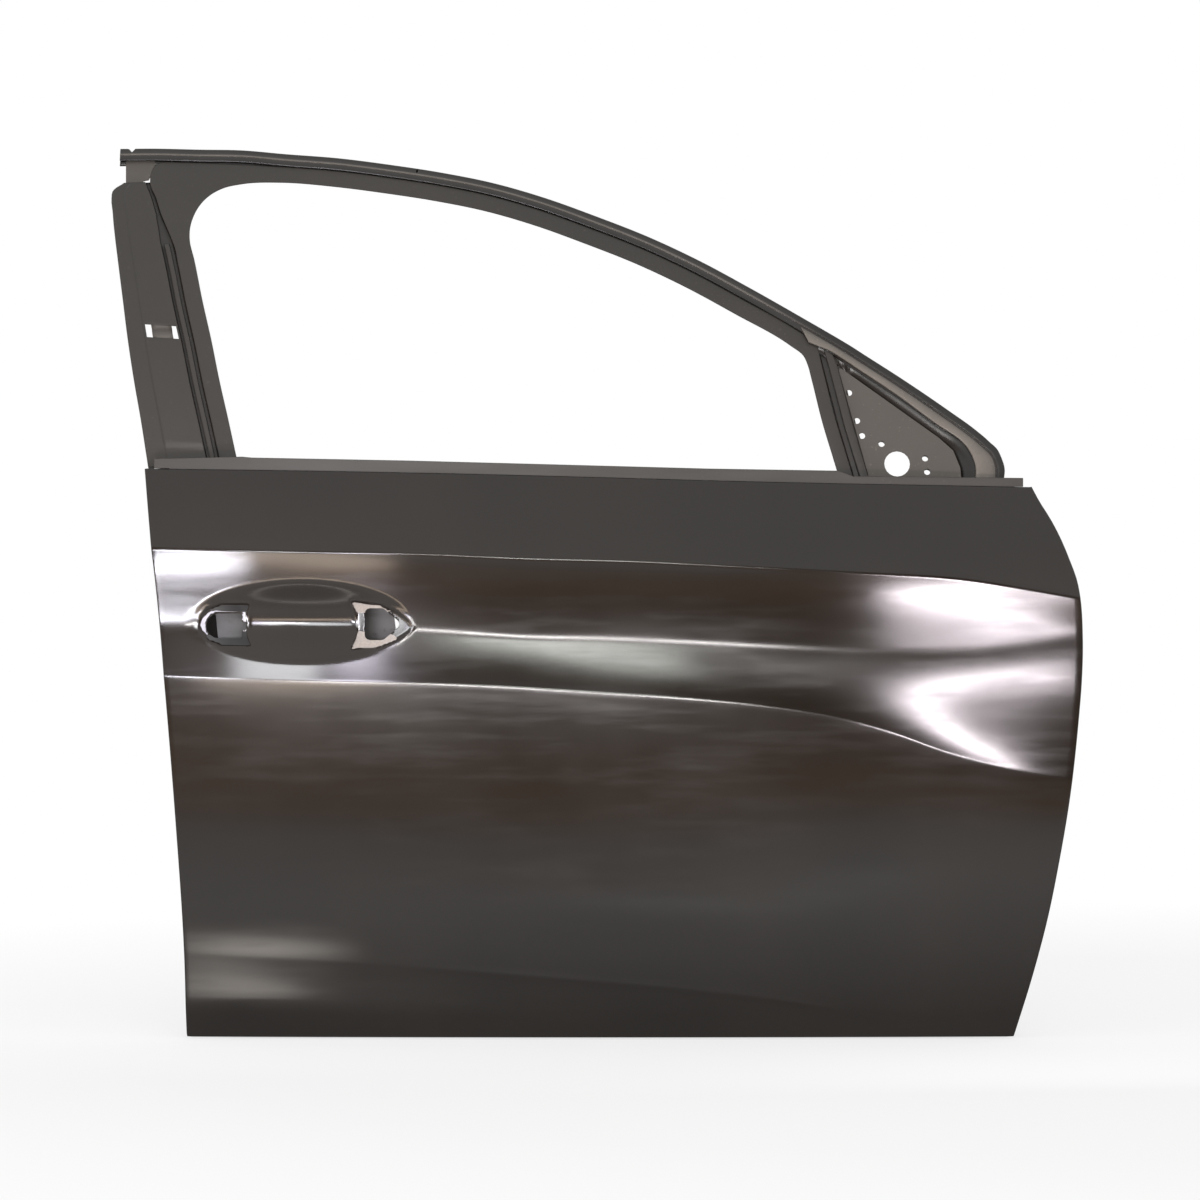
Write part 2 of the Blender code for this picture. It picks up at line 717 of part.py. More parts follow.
def fillet_corner(before, corner, after, radius):
    """Points of an arc that rounds one corner of an open (x, z) line."""
    here = Vector(corner)
    back = (Vector(before) - here).normalized()
    ahead = (Vector(after) - here).normalized()
    half = back.angle(ahead) / 2
    reach = radius / math.tan(half)
    centre = here + (back + ahead).normalized() * (radius / math.sin(half))
    first = (here + back * reach - centre).normalized()
    last = (here + ahead * reach - centre).normalized()
    return [tuple(centre + first.slerp(last, k / 8) * radius) for k in range(9)], reach


def rim_curve(inset, sill_inset, radius, pads):
    """An open (x, z) line inside the skin's edge: down the rear, along the sill, up the front."""
    bottom = sill_inset - SILL_DROP
    heights = np.linspace(bottom, frame_height(0), 120)
    rear = [(rear_edge(z) + inset, z) for z in heights]
    front = [(front_edge(z) - inset, z) for z in heights]
    if pads:
        front = [(pad_place(x, z), z) for x, z in front]
        rear = [(latch_place(x, z), z) for x, z in rear]
    arc_rear, reach = fillet_corner(rear[9], rear[0], front[0], radius)
    arc_front, _ = fillet_corner(rear[0], front[0], front[9], radius)
    clear = bottom + reach
    line = [point for point in reversed(rear) if point[1] > clear]
    line += arc_rear + arc_front
    return line + [point for point in front if point[1] > clear]


def hinge_pads():
    """Each hinge face as (x of its outside, lower z, upper z)."""
    return tuple(
        (-setback, -drop - HINGE_PAD_HALF, -drop + HINGE_PAD_HALF)
        for setback, drop in ((0.0, 0.0), (LOWER_HINGE_SETBACK, SILL_DROP * LOWER_HINGE_SHARE))
    )


def pad_place(x, z):
    """Pulls the front shut face onto the flat hinge faces, with a short blend beyond each end."""
    for face, low, high in hinge_pads():
        away = max(low - z, z - high, 0.0)
        share = max(1 - away / PAD_BLEND, 0.0)
        x = x + (face - INNER_THICKNESS / 2 - x) * share
    return x


def latch_line(z):
    """The rear shut face is flat and slightly slanted where the latch sits."""
    low = rear_edge(-LATCH_HALF_HEIGHT)
    high = rear_edge(LATCH_HALF_HEIGHT)
    return low + (high - low) * (z + LATCH_HALF_HEIGHT) / (2 * LATCH_HALF_HEIGHT) + SHUT_INSET


def latch_place(x, z):
    return latch_line(z) if abs(z) <= LATCH_HALF_HEIGHT else x


def nearest_on(line, point):
    """The place on an open (x, z) line nearest to a point."""
    start = np.array(line[:-1])
    step = np.array(line[1:]) - start
    share = np.clip(((np.array(point) - start) * step).sum(1) / (step * step).sum(1), 0, 1)
    places = start + step * share[:, None]
    return tuple(places[np.argmin(((places - np.array(point)) ** 2).sum(1))])


def snap_to_pads(points):
    """Moves the nearest front point of a shut-face line onto each end of each hinge face."""
    middle = along(0.5)
    for face, low, high in hinge_pads():
        for end in (low, high):
            ahead = [i for i, point in enumerate(points) if point[0] > middle]
            i = min(ahead, key=lambda k: abs(points[k][1] - end))
            points[i] = (face - INNER_THICKNESS / 2, end)
    return points


def make_inner_panel(grid, group, cutters, surface):
    """The inner pressing: hem flange, shut faces, seal land, step and trim face with its openings."""
    down = Vector((0, SKIN_THICKNESS + CLEARANCE + INNER_THICKNESS / 2, 0))
    edge, inner = hem_path(grid)
    share = HEM_SETBACK / HEM_WIDTH
    bm = bmesh.new()
    outer_ring = []
    for (i, j), (k, m) in zip(edge, inner):
        outer_ring.append(bm.verts.new(grid[i][j].lerp(grid[k][m], share) + down))
    places = {}
    for k, m in inner:
        if (k, m) not in places:
            places[(k, m)] = bm.verts.new(grid[k][m] + down)
    inner_ring = [places[key] for key in inner]
    for a in range(len(edge) - 1):
        if inner_ring[a] == inner_ring[a + 1]:
            bm.faces.new((outer_ring[a], outer_ring[a + 1], inner_ring[a]))
        else:
            bm.faces.new((outer_ring[a], outer_ring[a + 1], inner_ring[a + 1], inner_ring[a]))
    foot = list(dict.fromkeys(inner_ring))
    flat = [(v.co.x, v.co.z) for v in foot]
    shut = rim_curve(SHUT_INSET, SILL_WALL_INSET, SHUT_CORNER, True)
    seal = rim_curve(SEAL_INSET, SILL_WALL_INSET + SEAL_INSET - SHUT_INSET, SHUT_CORNER, False)
    trim = rim_curve(TRIM_INSET, SILL_WALL_INSET + TRIM_INSET - SHUT_INSET, TRIM_CORNER, False)
    wall = snap_to_pads([nearest_on(shut, point) for point in flat])
    land = [nearest_on(seal, point) for point in wall]
    rim = [nearest_on(trim, point) for point in land]
    lines = [foot]
    for places_2d, depth in ((wall, None), (wall, SEAL_FACE_Y), (land, SEAL_FACE_Y), (rim, TRIM_FACE_Y)):
        line = []
        for (x, z), start in zip(places_2d, foot):
            y = start.co.y + SHUT_FOOT if depth is None else depth
            line.append(bm.verts.new((x, y, z)))
        lines.append(line)
    for low, high in zip(lines, lines[1:]):
        for a in range(len(low) - 1):
            bm.faces.new((low[a], low[a + 1], high[a + 1], high[a]))
    edges = [e for a, b in zip(lines[-1], lines[-1][1:]) for e in a.link_edges if e.other_vert(a) == b]
    edges.append(bm.edges.new((lines[-1][-1], lines[-1][0])))
    for loop in trim_openings():
        edges += ring_edges(bm, [bm.verts.new((x, TRIM_FACE_Y, z)) for x, z in loop])
    edges += speaker_seat(bm)
    bmesh.ops.triangle_fill(bm, use_beauty=True, edges=edges)
    bmesh.ops.recalc_face_normals(bm, faces=bm.faces)
    made = new_object("inner_panel", mesh_of("inner_panel", bm), group, surface)
    thicken(made, INNER_THICKNESS)
    cut_shut_faces(made, cutters)
    return made


def trim_place(shares):
    """A place on the trim face from its own length and height shares."""
    low = SILL_WALL_INSET + TRIM_INSET - SHUT_INSET - SILL_DROP
    high = body_height(BELT_SHARES[-1][1])
    z = low + (high - low) * shares[1]
    rear = rear_edge(z) + TRIM_INSET
    front = front_edge(z) - TRIM_INSET
    return rear + (front - rear) * shares[0], z


def trim_openings():
    """The large access opening and the small service holes."""
    loops = [rounded([trim_place(shares) for shares in ACCESS_SHARES], ACCESS_CORNER)]
    loops += [circle(trim_place(shares), SERVICE_HOLE, 12) for shares in SERVICE_SHARES]
    return loops


def speaker_seat(bm):
    """A recessed ring round the speaker opening. Gives the edges of its outer line."""
    centre = trim_place(SPEAKER_SHARES)
    sizes = (
        (SPEAKER_DIAMETER + 2 * SPEAKER_STEP + 2 * SPEAKER_RECESS, 0.0),
        (SPEAKER_DIAMETER + 2 * SPEAKER_STEP, SPEAKER_RECESS),
        (SPEAKER_DIAMETER, SPEAKER_RECESS),
    )
    rings = []
    for diameter, recess in sizes:
        loop = circle(centre, diameter, 32)
        rings.append([bm.verts.new((x, TRIM_FACE_Y - recess, z)) for x, z in loop])
    edges = ring_edges(bm, rings[0])
    for low, high in zip(rings, rings[1:]):
        count = len(low)
        for a in range(count):
            b = (a + 1) % count
            bm.faces.new((low[a], low[b], high[b], high[a]))
    return edges


def hinge_bolt_places():
    """(y, z) of the two bolt holes on each hinge face, with the face's x."""
    half = HINGE_BOLT_PITCH / 2
    found = []
    for face, low, high in hinge_pads():
        centre = (low + high) / 2
        found += [(face, SHUT_MIDDLE_Y, centre - half), (face, SHUT_MIDDLE_Y, centre + half)]
    return found


def cut_shut_faces(made, cutters):
    """Bolt holes, the check link slot and the latch slot."""
    for k, (face, y, z) in enumerate(hinge_bolt_places()):
        loop = circle((y, z), HINGE_BOLT_HOLE, 12)
        tool = prism_x(f"hinge_hole_{k + 1}", loop, face - OVERRUN, face + OVERRUN, cutters)
        cut(made, tool, f"hinge hole {k + 1}")
    face = front_edge(-CHECK_DROP) - SHUT_INSET
    slot = box_loop((SHUT_MIDDLE_Y, -CHECK_DROP), CHECK_SLOT_WIDTH, CHECK_SLOT_HEIGHT)
    cut(made, prism_x("check_slot", slot, face - OVERRUN, face + OVERRUN, cutters), "check slot")
    for k, place in enumerate(check_bolts()):
        loop = circle(place, CHECK_BOLT_HOLE, 10)
        tool = prism_x(f"check_hole_{k + 1}", loop, face - OVERRUN, face + OVERRUN, cutters)
        cut(made, tool, f"check hole {k + 1}")
    face = latch_line(0)
    slot = box_loop((SHUT_MIDDLE_Y, 0), LATCH_SLOT_DEPTH, LATCH_SLOT_HEIGHT)
    cut(made, prism_x("latch_slot", slot, face - OVERRUN, face + OVERRUN, cutters), "latch slot")
    for k, place in enumerate(latch_screws()):
        loop = circle(place, LATCH_SCREW_HOLE, 10)
        tool = prism_x(f"latch_hole_{k + 1}", loop, face - OVERRUN, face + OVERRUN, cutters)
        cut(made, tool, f"latch hole {k + 1}")


def check_bolts():
    half = CHECK_BOLT_PITCH / 2
    return [(SHUT_MIDDLE_Y, -CHECK_DROP - half), (SHUT_MIDDLE_Y, -CHECK_DROP + half)]


def latch_screws():
    """Three screws round the latch slot as (y, z)."""
    low = SHUT_MIDDLE_Y - LATCH_SLOT_DEPTH / 3
    high = SHUT_MIDDLE_Y + LATCH_SLOT_DEPTH / 3
    return [(SHUT_MIDDLE_Y, LATCH_SCREW_REACH), (low, -LATCH_SCREW_REACH), (high, -LATCH_SCREW_REACH)]


def opening_path():
    """The window opening's edge from the rear foot below the belt, over the head, to the front foot."""
    rear = frame_points(OPENING_REAR_SHARES)
    front = frame_points(OPENING_FRONT_SHARES)
    head = frame_points(OPENING_HEAD_SHARES)
    rear_leg = leg(rear[0], rear[1])
    front_leg = leg(front[-1], front[-2])
    return rear_leg[::-1] + rear + head + front + front_leg


def foot_height():
    """Height of one step of the frame's legs, a share of the way from the belt to the beam."""
    return (body_height(1) - beam_front_height()) * FOOT_SHARE


def leg(end, above):
    """Points of a leg of the frame, straight on downwards: past the inner belt, then a foot's height."""
    down = Vector(end) - Vector(above)
    down /= abs(down.y)
    past = end[1] - inner_belt_bottom(trim_place((0, 1))[1]) + INNER_BELT_GAP
    steps = [past * (k + 1) / (LEG_STATIONS - 1) for k in range(LEG_STATIONS - 1)]
    return [tuple(Vector(end) + down * step) for step in steps + [past + foot_height()]]


def inner_belt_bottom(trim_top):
    """Height of the inner belt reinforcement's lower edge under the trim face's upper edge."""
    return trim_top - INNER_BELT_GAP - INNER_BELT_HEIGHT


def frame_sides():
    """Pairs of (x, z) places along the frame: the opening's edge and the band's outer side."""
    path = opening_path()
    outer = offset_path(path, FRAME_BAND)
    corner = frame_points(FRAME_CORNER_SHARES)
    first = LEG_STATIONS + len(OPENING_REAR_SHARES) + 1 - len(corner)
    outer[first:first + len(corner)] = corner
    foremost = frame_points(FRAME_FOREMOST_SHARES)
    last = len(path) - LEG_STATIONS
    outer[last - len(foremost):last] = foremost
    for k in range(last, len(path)):
        outer[k] = tuple(Vector(outer[last - 1]) + Vector(path[k]) - Vector(path[last - 1]))
    return [(Vector(edge), Vector(side)) for edge, side in zip(path, outer)]


def make_window_frame(group, surface):
    """One channel round the opening: outer band, web and inner band, open towards the glass."""
    rows = []
    for lip, share, inboard in (
        (FRAME_LIP / 2, 0, FRAME_LIP + FRAME_BAND_STEP), (0, 0, FRAME_BAND_STEP),
        (0, 1, FRAME_BAND_STEP), (0, 1, FRAME_BAND_STEP + FRAME_DEPTH),
        (FRAME_LIP, 0, FRAME_BAND_STEP + FRAME_DEPTH),
    ):
        places = [a.lerp(b, share) + (b - a).normalized() * lip for a, b in frame_sides()]
        rows.append([on_frame(place, inboard) for place in places])
    return sheet("window_frame", rows, FRAME_THICKNESS, group, surface)


def rail_path():
    """The header rail's outer edge: the rear corner, then along the frame's head, then the front foot."""
    reach = FRAME_BAND + FRAME_THICKNESS / 2 + RAIL_GAP + RAIL_WIDTH
    head = offset_path(frame_points(OPENING_HEAD_SHARES), reach)[1:]
    return frame_points(HEADER_REAR_SHARES) + head + frame_points(HEADER_FRONT_SHARES)


def make_header_rail(group, cutters, surface):
    """The rolled outer rail from the rear corner over the header to the front foot, notched behind."""
    web = RAIL_WIDTH - FRAME_THICKNESS / 2
    section = [
        (-web, FRAME_BAND_STEP), (-web, 0.0), (-web / 2 - RAIL_BEAD, 0.0), (-web / 2, -RAIL_BEAD),
        (-web / 2 + RAIL_BEAD, 0.0), (0.0, 0.0), (0.0, RAIL_DEPTH), (-web, RAIL_DEPTH),
    ]
    made = swept("header_rail", rail_path(), section, FRAME_THICKNESS, group, surface)
    x, z = frame_points([NOTCH_SHARES])[0]
    low = frame_face(z) - OVERRUN
    loop = [(x - NOTCH_WIDTH / 2, z + OVERRUN), (x, z - NOTCH_DEPTH), (x + NOTCH_WIDTH / 2, z + OVERRUN)]
    cut(made, prism_y("rail_notch", loop, low, low + RAIL_DEPTH + 2 * OVERRUN, cutters), "notch")
    return made


def plate_lines():
    """From the belt up, (x, z) places of the frame's outer side and the plate's free edge, and the
    room between them for the rib, which ends below the corner."""
    corner = len(OPENING_REAR_SHARES) + 1 - len(FRAME_CORNER_SHARES)
    line = offset_path([side for _, side in frame_sides()], FRAME_THICKNESS)[LEG_STATIONS:]
    return [
        (Vector(side), Vector(outer), RIB_GAP + RIB_WIDTH if k < corner else 0)
        for k, (side, outer) in enumerate(zip(line, frame_points(PLATE_OUTER_SHARES)))
    ]


def on_frame(place, inboard):
    """A point on the window frame's surface at an (x, z) place, set inboard by a depth."""
    return (place.x, frame_face(place.y) + inboard, place.y)


def make_pillar_plate(group, cutters, surface):
    """The wide plate behind the window: folded rear edge, long step, groove floor and weld flange."""
    rows = []
    for frame_side, outer, room in plate_lines():
        back = (outer - frame_side).normalized()
        end = frame_side + back * CLEARANCE
        front = end + back * (room + GROOVE)
        step = outer.lerp(front, PLATE_STEP_SHARE)
        rows.append([
            on_frame(outer, PLATE_EDGE), on_frame(outer, PLATE_STEP),
            on_frame(step + back * PLATE_STEP, PLATE_STEP), on_frame(step, 0), on_frame(front, 0),
            on_frame(front, GROOVE_DEPTH), on_frame(end, GROOVE_DEPTH),
            on_frame(end, GROOVE_DEPTH + PLATE_FLANGE),
        ])
    made = sheet("pillar_plate", rows, FRAME_THICKNESS, group, surface)
    x, z = frame_points([PLATE_SLOT_SHARES])[0]
    loop = box_loop((x, z), PLATE_SLOT_HEIGHT, PLATE_SLOT_HEIGHT / 2)
    depth = frame_face(z)
    cut(made, prism_y("clip_slot", loop, depth - OVERRUN, depth + OVERRUN, cutters), "clip slot")
    return made


def make_pillar_rib(group, surface):
    """The raised rib that stands in the groove between the plate and the frame."""
    depth = GROOVE_DEPTH - FRAME_THICKNESS - CLEARANCE
    rows = []
    for frame_side, outer, room in plate_lines():
        if not room:
            break
        back = (outer - frame_side).normalized()
        front = frame_side + back * (CLEARANCE + RIB_GAP)
        rear = front + back * RIB_WIDTH
        rows.append([on_frame(rear, depth), on_frame(rear, 0), on_frame(front, 0), on_frame(front, depth)])
    return sheet("pillar_rib", rows, FRAME_THICKNESS / 2, group, surface)


def make_corner_bracket(group, surface):
    """The small plate that closes the frame's top rear corner, from the pillar plate into the rail."""
    points = frame_points(CORNER_OUTLINE_SHARES)
    middle = frame_height(1) - RAIL_WIDTH
    slope = glass_slope(middle)
    base = frame_face(middle) + FRAME_BAND_STEP + FRAME_THICKNESS + 2 * CLEARANCE
    return plate(
        "corner_bracket", [points], lambda z: base + slope * (z - middle), FRAME_THICKNESS, group, surface
    )


def mirror_depth(z):
    """The mirror plate is flat, and touches the leaning frame surface at its middle height."""
    middle = frame_height(MIRROR_TOP_SHARE / 2)
    return frame_face(middle) + MIRROR_SEAT + glass_slope(middle) * (z - middle)


def frame_front_x(z):
    """The outside of the frame's outer wall ahead of the window at a height."""
    line = frame_sides()[-LEG_STATIONS - len(FRAME_FOREMOST_SHARES):]
    return straight([(side.y, side.x) for _, side in reversed(line)], z) + FRAME_THICKNESS / 2


def mirror_rib_x(z):
    """Where the rib ahead of the frame ends and the mirror plate starts."""
    return frame_front_x(z) + CLEARANCE + FRAME_THICKNESS + MIRROR_GROOVE + MIRROR_RIB


def under_mirror(z):
    """Depth of a flange that lies against the inboard side of the mirror plate."""
    return mirror_depth(z) + MIRROR_THICKNESS / 2 + CLEARANCE + FRAME_THICKNESS / 2


def make_front_brace(group, surface):
    """The strip over the front of the rail: its channel floor runs under the mirror plate's edge."""
    count = len(HEADER_FRONT_SHARES)
    lap = offset_path(rail_path(), BRACE_LAP - RAIL_WIDTH - FRAME_THICKNESS / 2 - RAIL_GAP)[-count:]
    rows = []
    above = -FRAME_THICKNESS - CLEARANCE
    edges = frame_points(BRACE_EDGE_SHARES)
    for over, edge, seat in zip(lap, edges, frame_points(BRACE_SEAT_SHARES)):
        over, edge, seat = Vector(over), Vector(edge), Vector(seat)
        rows.append([
            on_frame(over, above), on_frame(edge, above), (edge.x, under_mirror(edge.y), edge.y),
            (seat.x, under_mirror(seat.y), seat.y),
        ])
    return sheet("front_brace", rows, FRAME_THICKNESS, group, surface)


def make_mirror_rib(group, surface):
    """The strip between frame and mirror plate: weld flange, groove floor, rib and seat."""
    top = frame_height(MIRROR_RIB_SHARE)
    seat_top = frame_height(MIRROR_TOP_SHARE)
    bottom = frame_height(MIRROR_BOTTOM_SHARE)
    rows = []
    for k, z in enumerate((top, seat_top, (seat_top + bottom) / 2, bottom)):
        start = Vector((frame_front_x(z) + CLEARANCE + FRAME_THICKNESS / 2, z))
        slant = 0 if k else MIRROR_RIB_SLANT
        rise = start + Vector((MIRROR_GROOVE, -MIRROR_GROOVE * slant))
        end = rise + Vector((MIRROR_RIB, -MIRROR_RIB * slant))
        lap = end.x + MIRROR_LAP * min(k, 1) + FRAME_THICKNESS
        rows.append([
            on_frame(start, GROOVE_DEPTH + PLATE_FLANGE), on_frame(start, GROOVE_DEPTH),
            on_frame(rise, GROOVE_DEPTH), on_frame(rise, 0), on_frame(end, 0),
            (end.x, under_mirror(end.y), end.y), (lap, under_mirror(end.y), end.y),
        ])
    return sheet("mirror_rib", rows, FRAME_THICKNESS, group, surface)


def mirror_holes(shares):
    """(x, z) centres of holes in the mirror plate, between its rear edge and its foremost point."""
    foremost = along(MIRROR_FRONT_SHARES[0][0])
    places = []
    for share, height in shares:
        z = frame_height(height)
        rear = mirror_rib_x(z) + 2 * CLEARANCE + MIRROR_STUD_HOLE / 2
        places.append((rear + (foremost - rear) * share, z))
    return places


def make_mirror_plate(group, surface):
    """The plate in the front corner, with stud holes and one large hole for the wires."""
    heights = [frame_height(MIRROR_TOP_SHARE), frame_height(MIRROR_BOTTOM_SHARE)]
    rear = [(mirror_rib_x(z) + CLEARANCE, z) for z in heights]
    outline = rounded(rear + frame_points(MIRROR_FRONT_SHARES), MIRROR_CORNER, 2)
    loops = [outline, circle(mirror_holes([MIRROR_WIRE_SHARES])[0], MIRROR_WIRE_HOLE, 20)]
    loops += [circle(place, MIRROR_STUD_HOLE, 10) for place in mirror_holes(MIRROR_STUD_SHARES)]
    return plate("mirror_plate", loops, mirror_depth, MIRROR_THICKNESS, group, surface)


def make_outer_belt(group, cutters, surface):
    """The outer belt reinforcement: a flange that stands above the skin, a step and a foot."""
    rows = []
    for share, top in BELT_STRIP_SHARES:
        x = along(share)
        belt = level_height(len(LEVELS) - 1, share)
        near = plain_side(x, belt) + SKIN_THICKNESS + CLEARANCE + BRACKET_THICKNESS / 2
        rows.append([
            (x, near, frame_height(top)), (x, near, belt - BELT_FLANGE_DROP),
            (x, near + BELT_OFFSET, belt - BELT_WEB_DROP), (x, near + BELT_OFFSET, belt - BELT_FOOT_DROP),
        ])
    made = sheet("belt_reinforcement_outer", rows, BRACKET_THICKNESS, group, surface)
    rear = level_height(len(LEVELS) - 1, 0)
    front = level_height(len(LEVELS) - 1, 1)
    corner = level_height(len(LEVELS) - 1, FRONT_EDGE_SHARES[-1][1])
    wall = SHUT_INSET + INNER_THICKNESS / 2 + CLEARANCE
    for name, low, high, belt in (
        ("belt_end_rear", rear_edge(rear) - OVERRUN, rear_edge(rear - BELT_FOOT_DROP) + wall, rear),
        ("belt_end_front", front_edge(front) - wall, front_edge(front) + OVERRUN, corner),
    ):
        bottom = belt - BELT_FOOT_DROP - OVERRUN
        top = belt + CLEARANCE
        loop = [(low, bottom), (high, bottom), (high, top), (low, top)]
        cut(made, prism_y(name, loop, -SIDE_BULGE, SIDE_BULGE, cutters), name)
    return made


def make_inner_belt(group, surface):
    """The inner belt reinforcement: a hat section along the inside of the trim face's upper edge."""
    near = TRIM_FACE_Y - INNER_THICKNESS / 2 - CLEARANCE - BRACKET_THICKNESS / 2
    deep = near - INNER_BELT_DEPTH
    rows = []
    for share in (0.0, 0.25, 0.5, 0.75, 1.0):
        x, top = trim_place((share, 1.0))
        low = inner_belt_bottom(top)
        top -= INNER_BELT_GAP
        x += INNER_BELT_FLANGE * (1 - 2 * share)
        rows.append([
            (x, near, top), (x, near, top - INNER_BELT_FLANGE),
            (x, deep, top - INNER_BELT_FLANGE - INNER_BELT_GAP),
            (x, deep, low + INNER_BELT_FLANGE + INNER_BELT_GAP), (x, near, low + INNER_BELT_FLANGE),
            (x, near, low),
        ])
    return sheet("belt_reinforcement_inner", rows, BRACKET_THICKNESS, group, surface)


def frame_back(z):
    """Inboard face of the frame's inner band, where a foot sits."""
    return frame_face(z) + FRAME_BAND_STEP + FRAME_DEPTH + FRAME_THICKNESS / 2


def make_frame_foot(name, at_rear, group, surface):
    """The bracket that ties a leg of the frame to the inside of the trim face."""
    path = opening_path()
    end, above = (path[0], path[1]) if at_rear else (path[-1], path[-2])
    side_of = -1 if at_rear else 1
    seat = CLEARANCE + BRACKET_THICKNESS / 2
    near = TRIM_FACE_Y - INNER_THICKNESS / 2 - seat
    rows = []
    for x, z in (end, above):
        first = x + side_of * FRAME_LIP
        bend = x + side_of * FRAME_BAND
        back = frame_back(z) + seat
        rows.append([
            (first, back, z), (bend, back, z), (bend + side_of * FRAME_LIP, near, z),
            (bend + side_of * (FRAME_LIP + FOOT_WIDTH), near, z),
        ])
    return sheet(name, rows, BRACKET_THICKNESS, group, surface)


def make_glass_guide(name, at_rear, group, surface):
    """The channel that guides the glass below a leg of the frame."""
    path = opening_path()
    top, above = (path[0], path[1]) if at_rear else (path[-1], path[-2])
    down = (Vector(top) - Vector(above)).normalized()
    start = Vector(top) + down * CLEARANCE
    count = 5
    reach = (body_height(1) - beam_front_height()) * GUIDE_SHARE
    line = [tuple(start + down * (reach * k / count)) for k in range(count + 1)]
    if at_rear:
        line.reverse()
    near = FRAME_BAND - GUIDE_WIDTH
    section = [
        (near, FRAME_BAND_STEP), (FRAME_BAND, FRAME_BAND_STEP),
        (FRAME_BAND, FRAME_BAND_STEP + GUIDE_DEPTH), (near, FRAME_BAND_STEP + GUIDE_DEPTH),
    ]
    return swept(name, line, section, FRAME_THICKNESS, group, surface)


def make_hinge_plate(name, pad, group, cutters, surface):
    """The thick plate behind a hinge face, with one edge turned back along the door."""
    face, low, high = pad
    x = face - INNER_THICKNESS - CLEARANCE - HINGE_PLATE_THICKNESS / 2
    near = SHUT_MIDDLE_Y - HINGE_PLATE_DEPTH / 2
    far = SHUT_MIDDLE_Y + HINGE_PLATE_DEPTH / 2 - HINGE_PLATE_THICKNESS / 2
    rows = []
    for z in (low + CLEARANCE, high - CLEARANCE):
        rows.append([(x, near, z), (x, far, z), (x - HINGE_PLATE_RETURN, far, z)])
    made = sheet(name, rows, HINGE_PLATE_THICKNESS, group, surface)
    for k, (place, _, z) in enumerate(hinge_bolt_places()):
        if place == face:
            cut(made, cutters.objects[f"hinge_hole_{k + 1}"], f"bolt hole {k + 1}")
    return made


def make_check_plate(group, cutters, surface):
    """The plate behind the check link slot."""
    half = CHECK_BOLT_PITCH / 2 + CHECK_SLOT_WIDTH / 2
    seat = INNER_THICKNESS / 2 + 2 * CLEARANCE + BRACKET_THICKNESS / 2
    rows = []
    for z in (-CHECK_DROP - half, -CHECK_DROP, -CHECK_DROP + half):
        x = front_edge(z) - SHUT_INSET - seat
        rows.append([(x, SHUT_MIDDLE_Y - CHECK_SLOT_WIDTH, z), (x, SHUT_MIDDLE_Y + CHECK_SLOT_WIDTH, z)])
    made = sheet("check_link_plate", rows, BRACKET_THICKNESS, group, surface)
    for name in ("check_slot", "check_hole_1", "check_hole_2"):
        cut(made, cutters.objects[name], name)
    return made


def make_latch_plate(group, cutters, surface):
    """The plate behind the latch face, with the latch slot and three screw holes."""
    seat = INNER_THICKNESS / 2 + CLEARANCE + BRACKET_THICKNESS / 2
    half = HINGE_PLATE_DEPTH / 2
    rows = []
    for z in (-LATCH_HALF_HEIGHT, LATCH_HALF_HEIGHT):
        x = latch_line(z) + seat
        rows.append([(x, SHUT_MIDDLE_Y - half, z), (x, SHUT_MIDDLE_Y + half, z)])
    made = sheet("latch_reinforcement", rows, BRACKET_THICKNESS, group, surface)
    for name in ("latch_slot", "latch_hole_1", "latch_hole_2", "latch_hole_3"):
        cut(made, cutters.objects[name], name)
    return made


def beam_end(x, z):
    """Centre of the beam's end, a set distance behind the skin."""
    reach = SKIN_THICKNESS + BEAM_SKIN_GAP + BEAM_DIAMETER / 2
    return Vector((x, plain_side(x, z) + reach, z))


def beam_front_height():
    """The beam's front end lies below the check link, part of the way to the sill."""
    return -CHECK_DROP - (SILL_DROP - CHECK_DROP) * BEAM_FRONT_DROP_SHARE


def beam_ends():
    """The beam stops short of the shut faces, which its brackets reach."""
    rear = beam_end(along(BEAM_REAR_SHARES[0]), body_height(BEAM_REAR_SHARES[1]))
    return rear, beam_end(along(BEAM_FRONT_SHARE), beam_front_height())


def make_beam(group, surface):
    """The side impact beam: a steel tube across the door."""
    rear, front = beam_ends()
    direction = front - rear
    bm = bmesh.new()
    radius = (BEAM_DIAMETER - BEAM_WALL) / 2
    bmesh.ops.create_cone(
        bm, cap_ends=False, segments=20, radius1=radius, radius2=radius, depth=direction.length
    )
    made = new_object("impact_beam", mesh_of("impact_beam", bm), group, surface)
    made.location = (rear + front) / 2
    made.rotation_mode = "QUATERNION"
    made.rotation_quaternion = direction.to_track_quat("Z", "Y")
    thicken(made, BEAM_WALL)
    for face in made.data.polygons:
        face.use_smooth = True
    return made


def make_beam_bracket(name, at_rear, group, surface):
    """The bracket between an end of the beam and a shut face: flat on the beam, turned up at the wall."""
    rear, front = beam_ends()
    end = rear if at_rear else front
    toward = (front - rear).normalized() * (1 if at_rear else -1)
    half = BEAM_BRACKET_HEIGHT / 2
    seat = INNER_THICKNESS + CLEARANCE + BRACKET_THICKNESS
    near = max((end + toward * BEAM_BRACKET_LENGTH).y, end.y)
    near += BEAM_DIAMETER / 2 + CLEARANCE + BRACKET_THICKNESS / 2
    start = (end + toward * BEAM_BRACKET_LENGTH).x
    rows = []
    for z in (end.z - half, end.z - half / 2, end.z, end.z + half / 2, end.z + half):
        wall = rear_edge(z) + SHUT_INSET + seat if at_rear else front_edge(z) - SHUT_INSET - seat
        rows.append([(start, near, z), (wall, near, z), (wall, SEAL_FACE_Y - BEAM_BRACKET_GAP, z)])
    return sheet(name, rows, BRACKET_THICKNESS, group, surface)


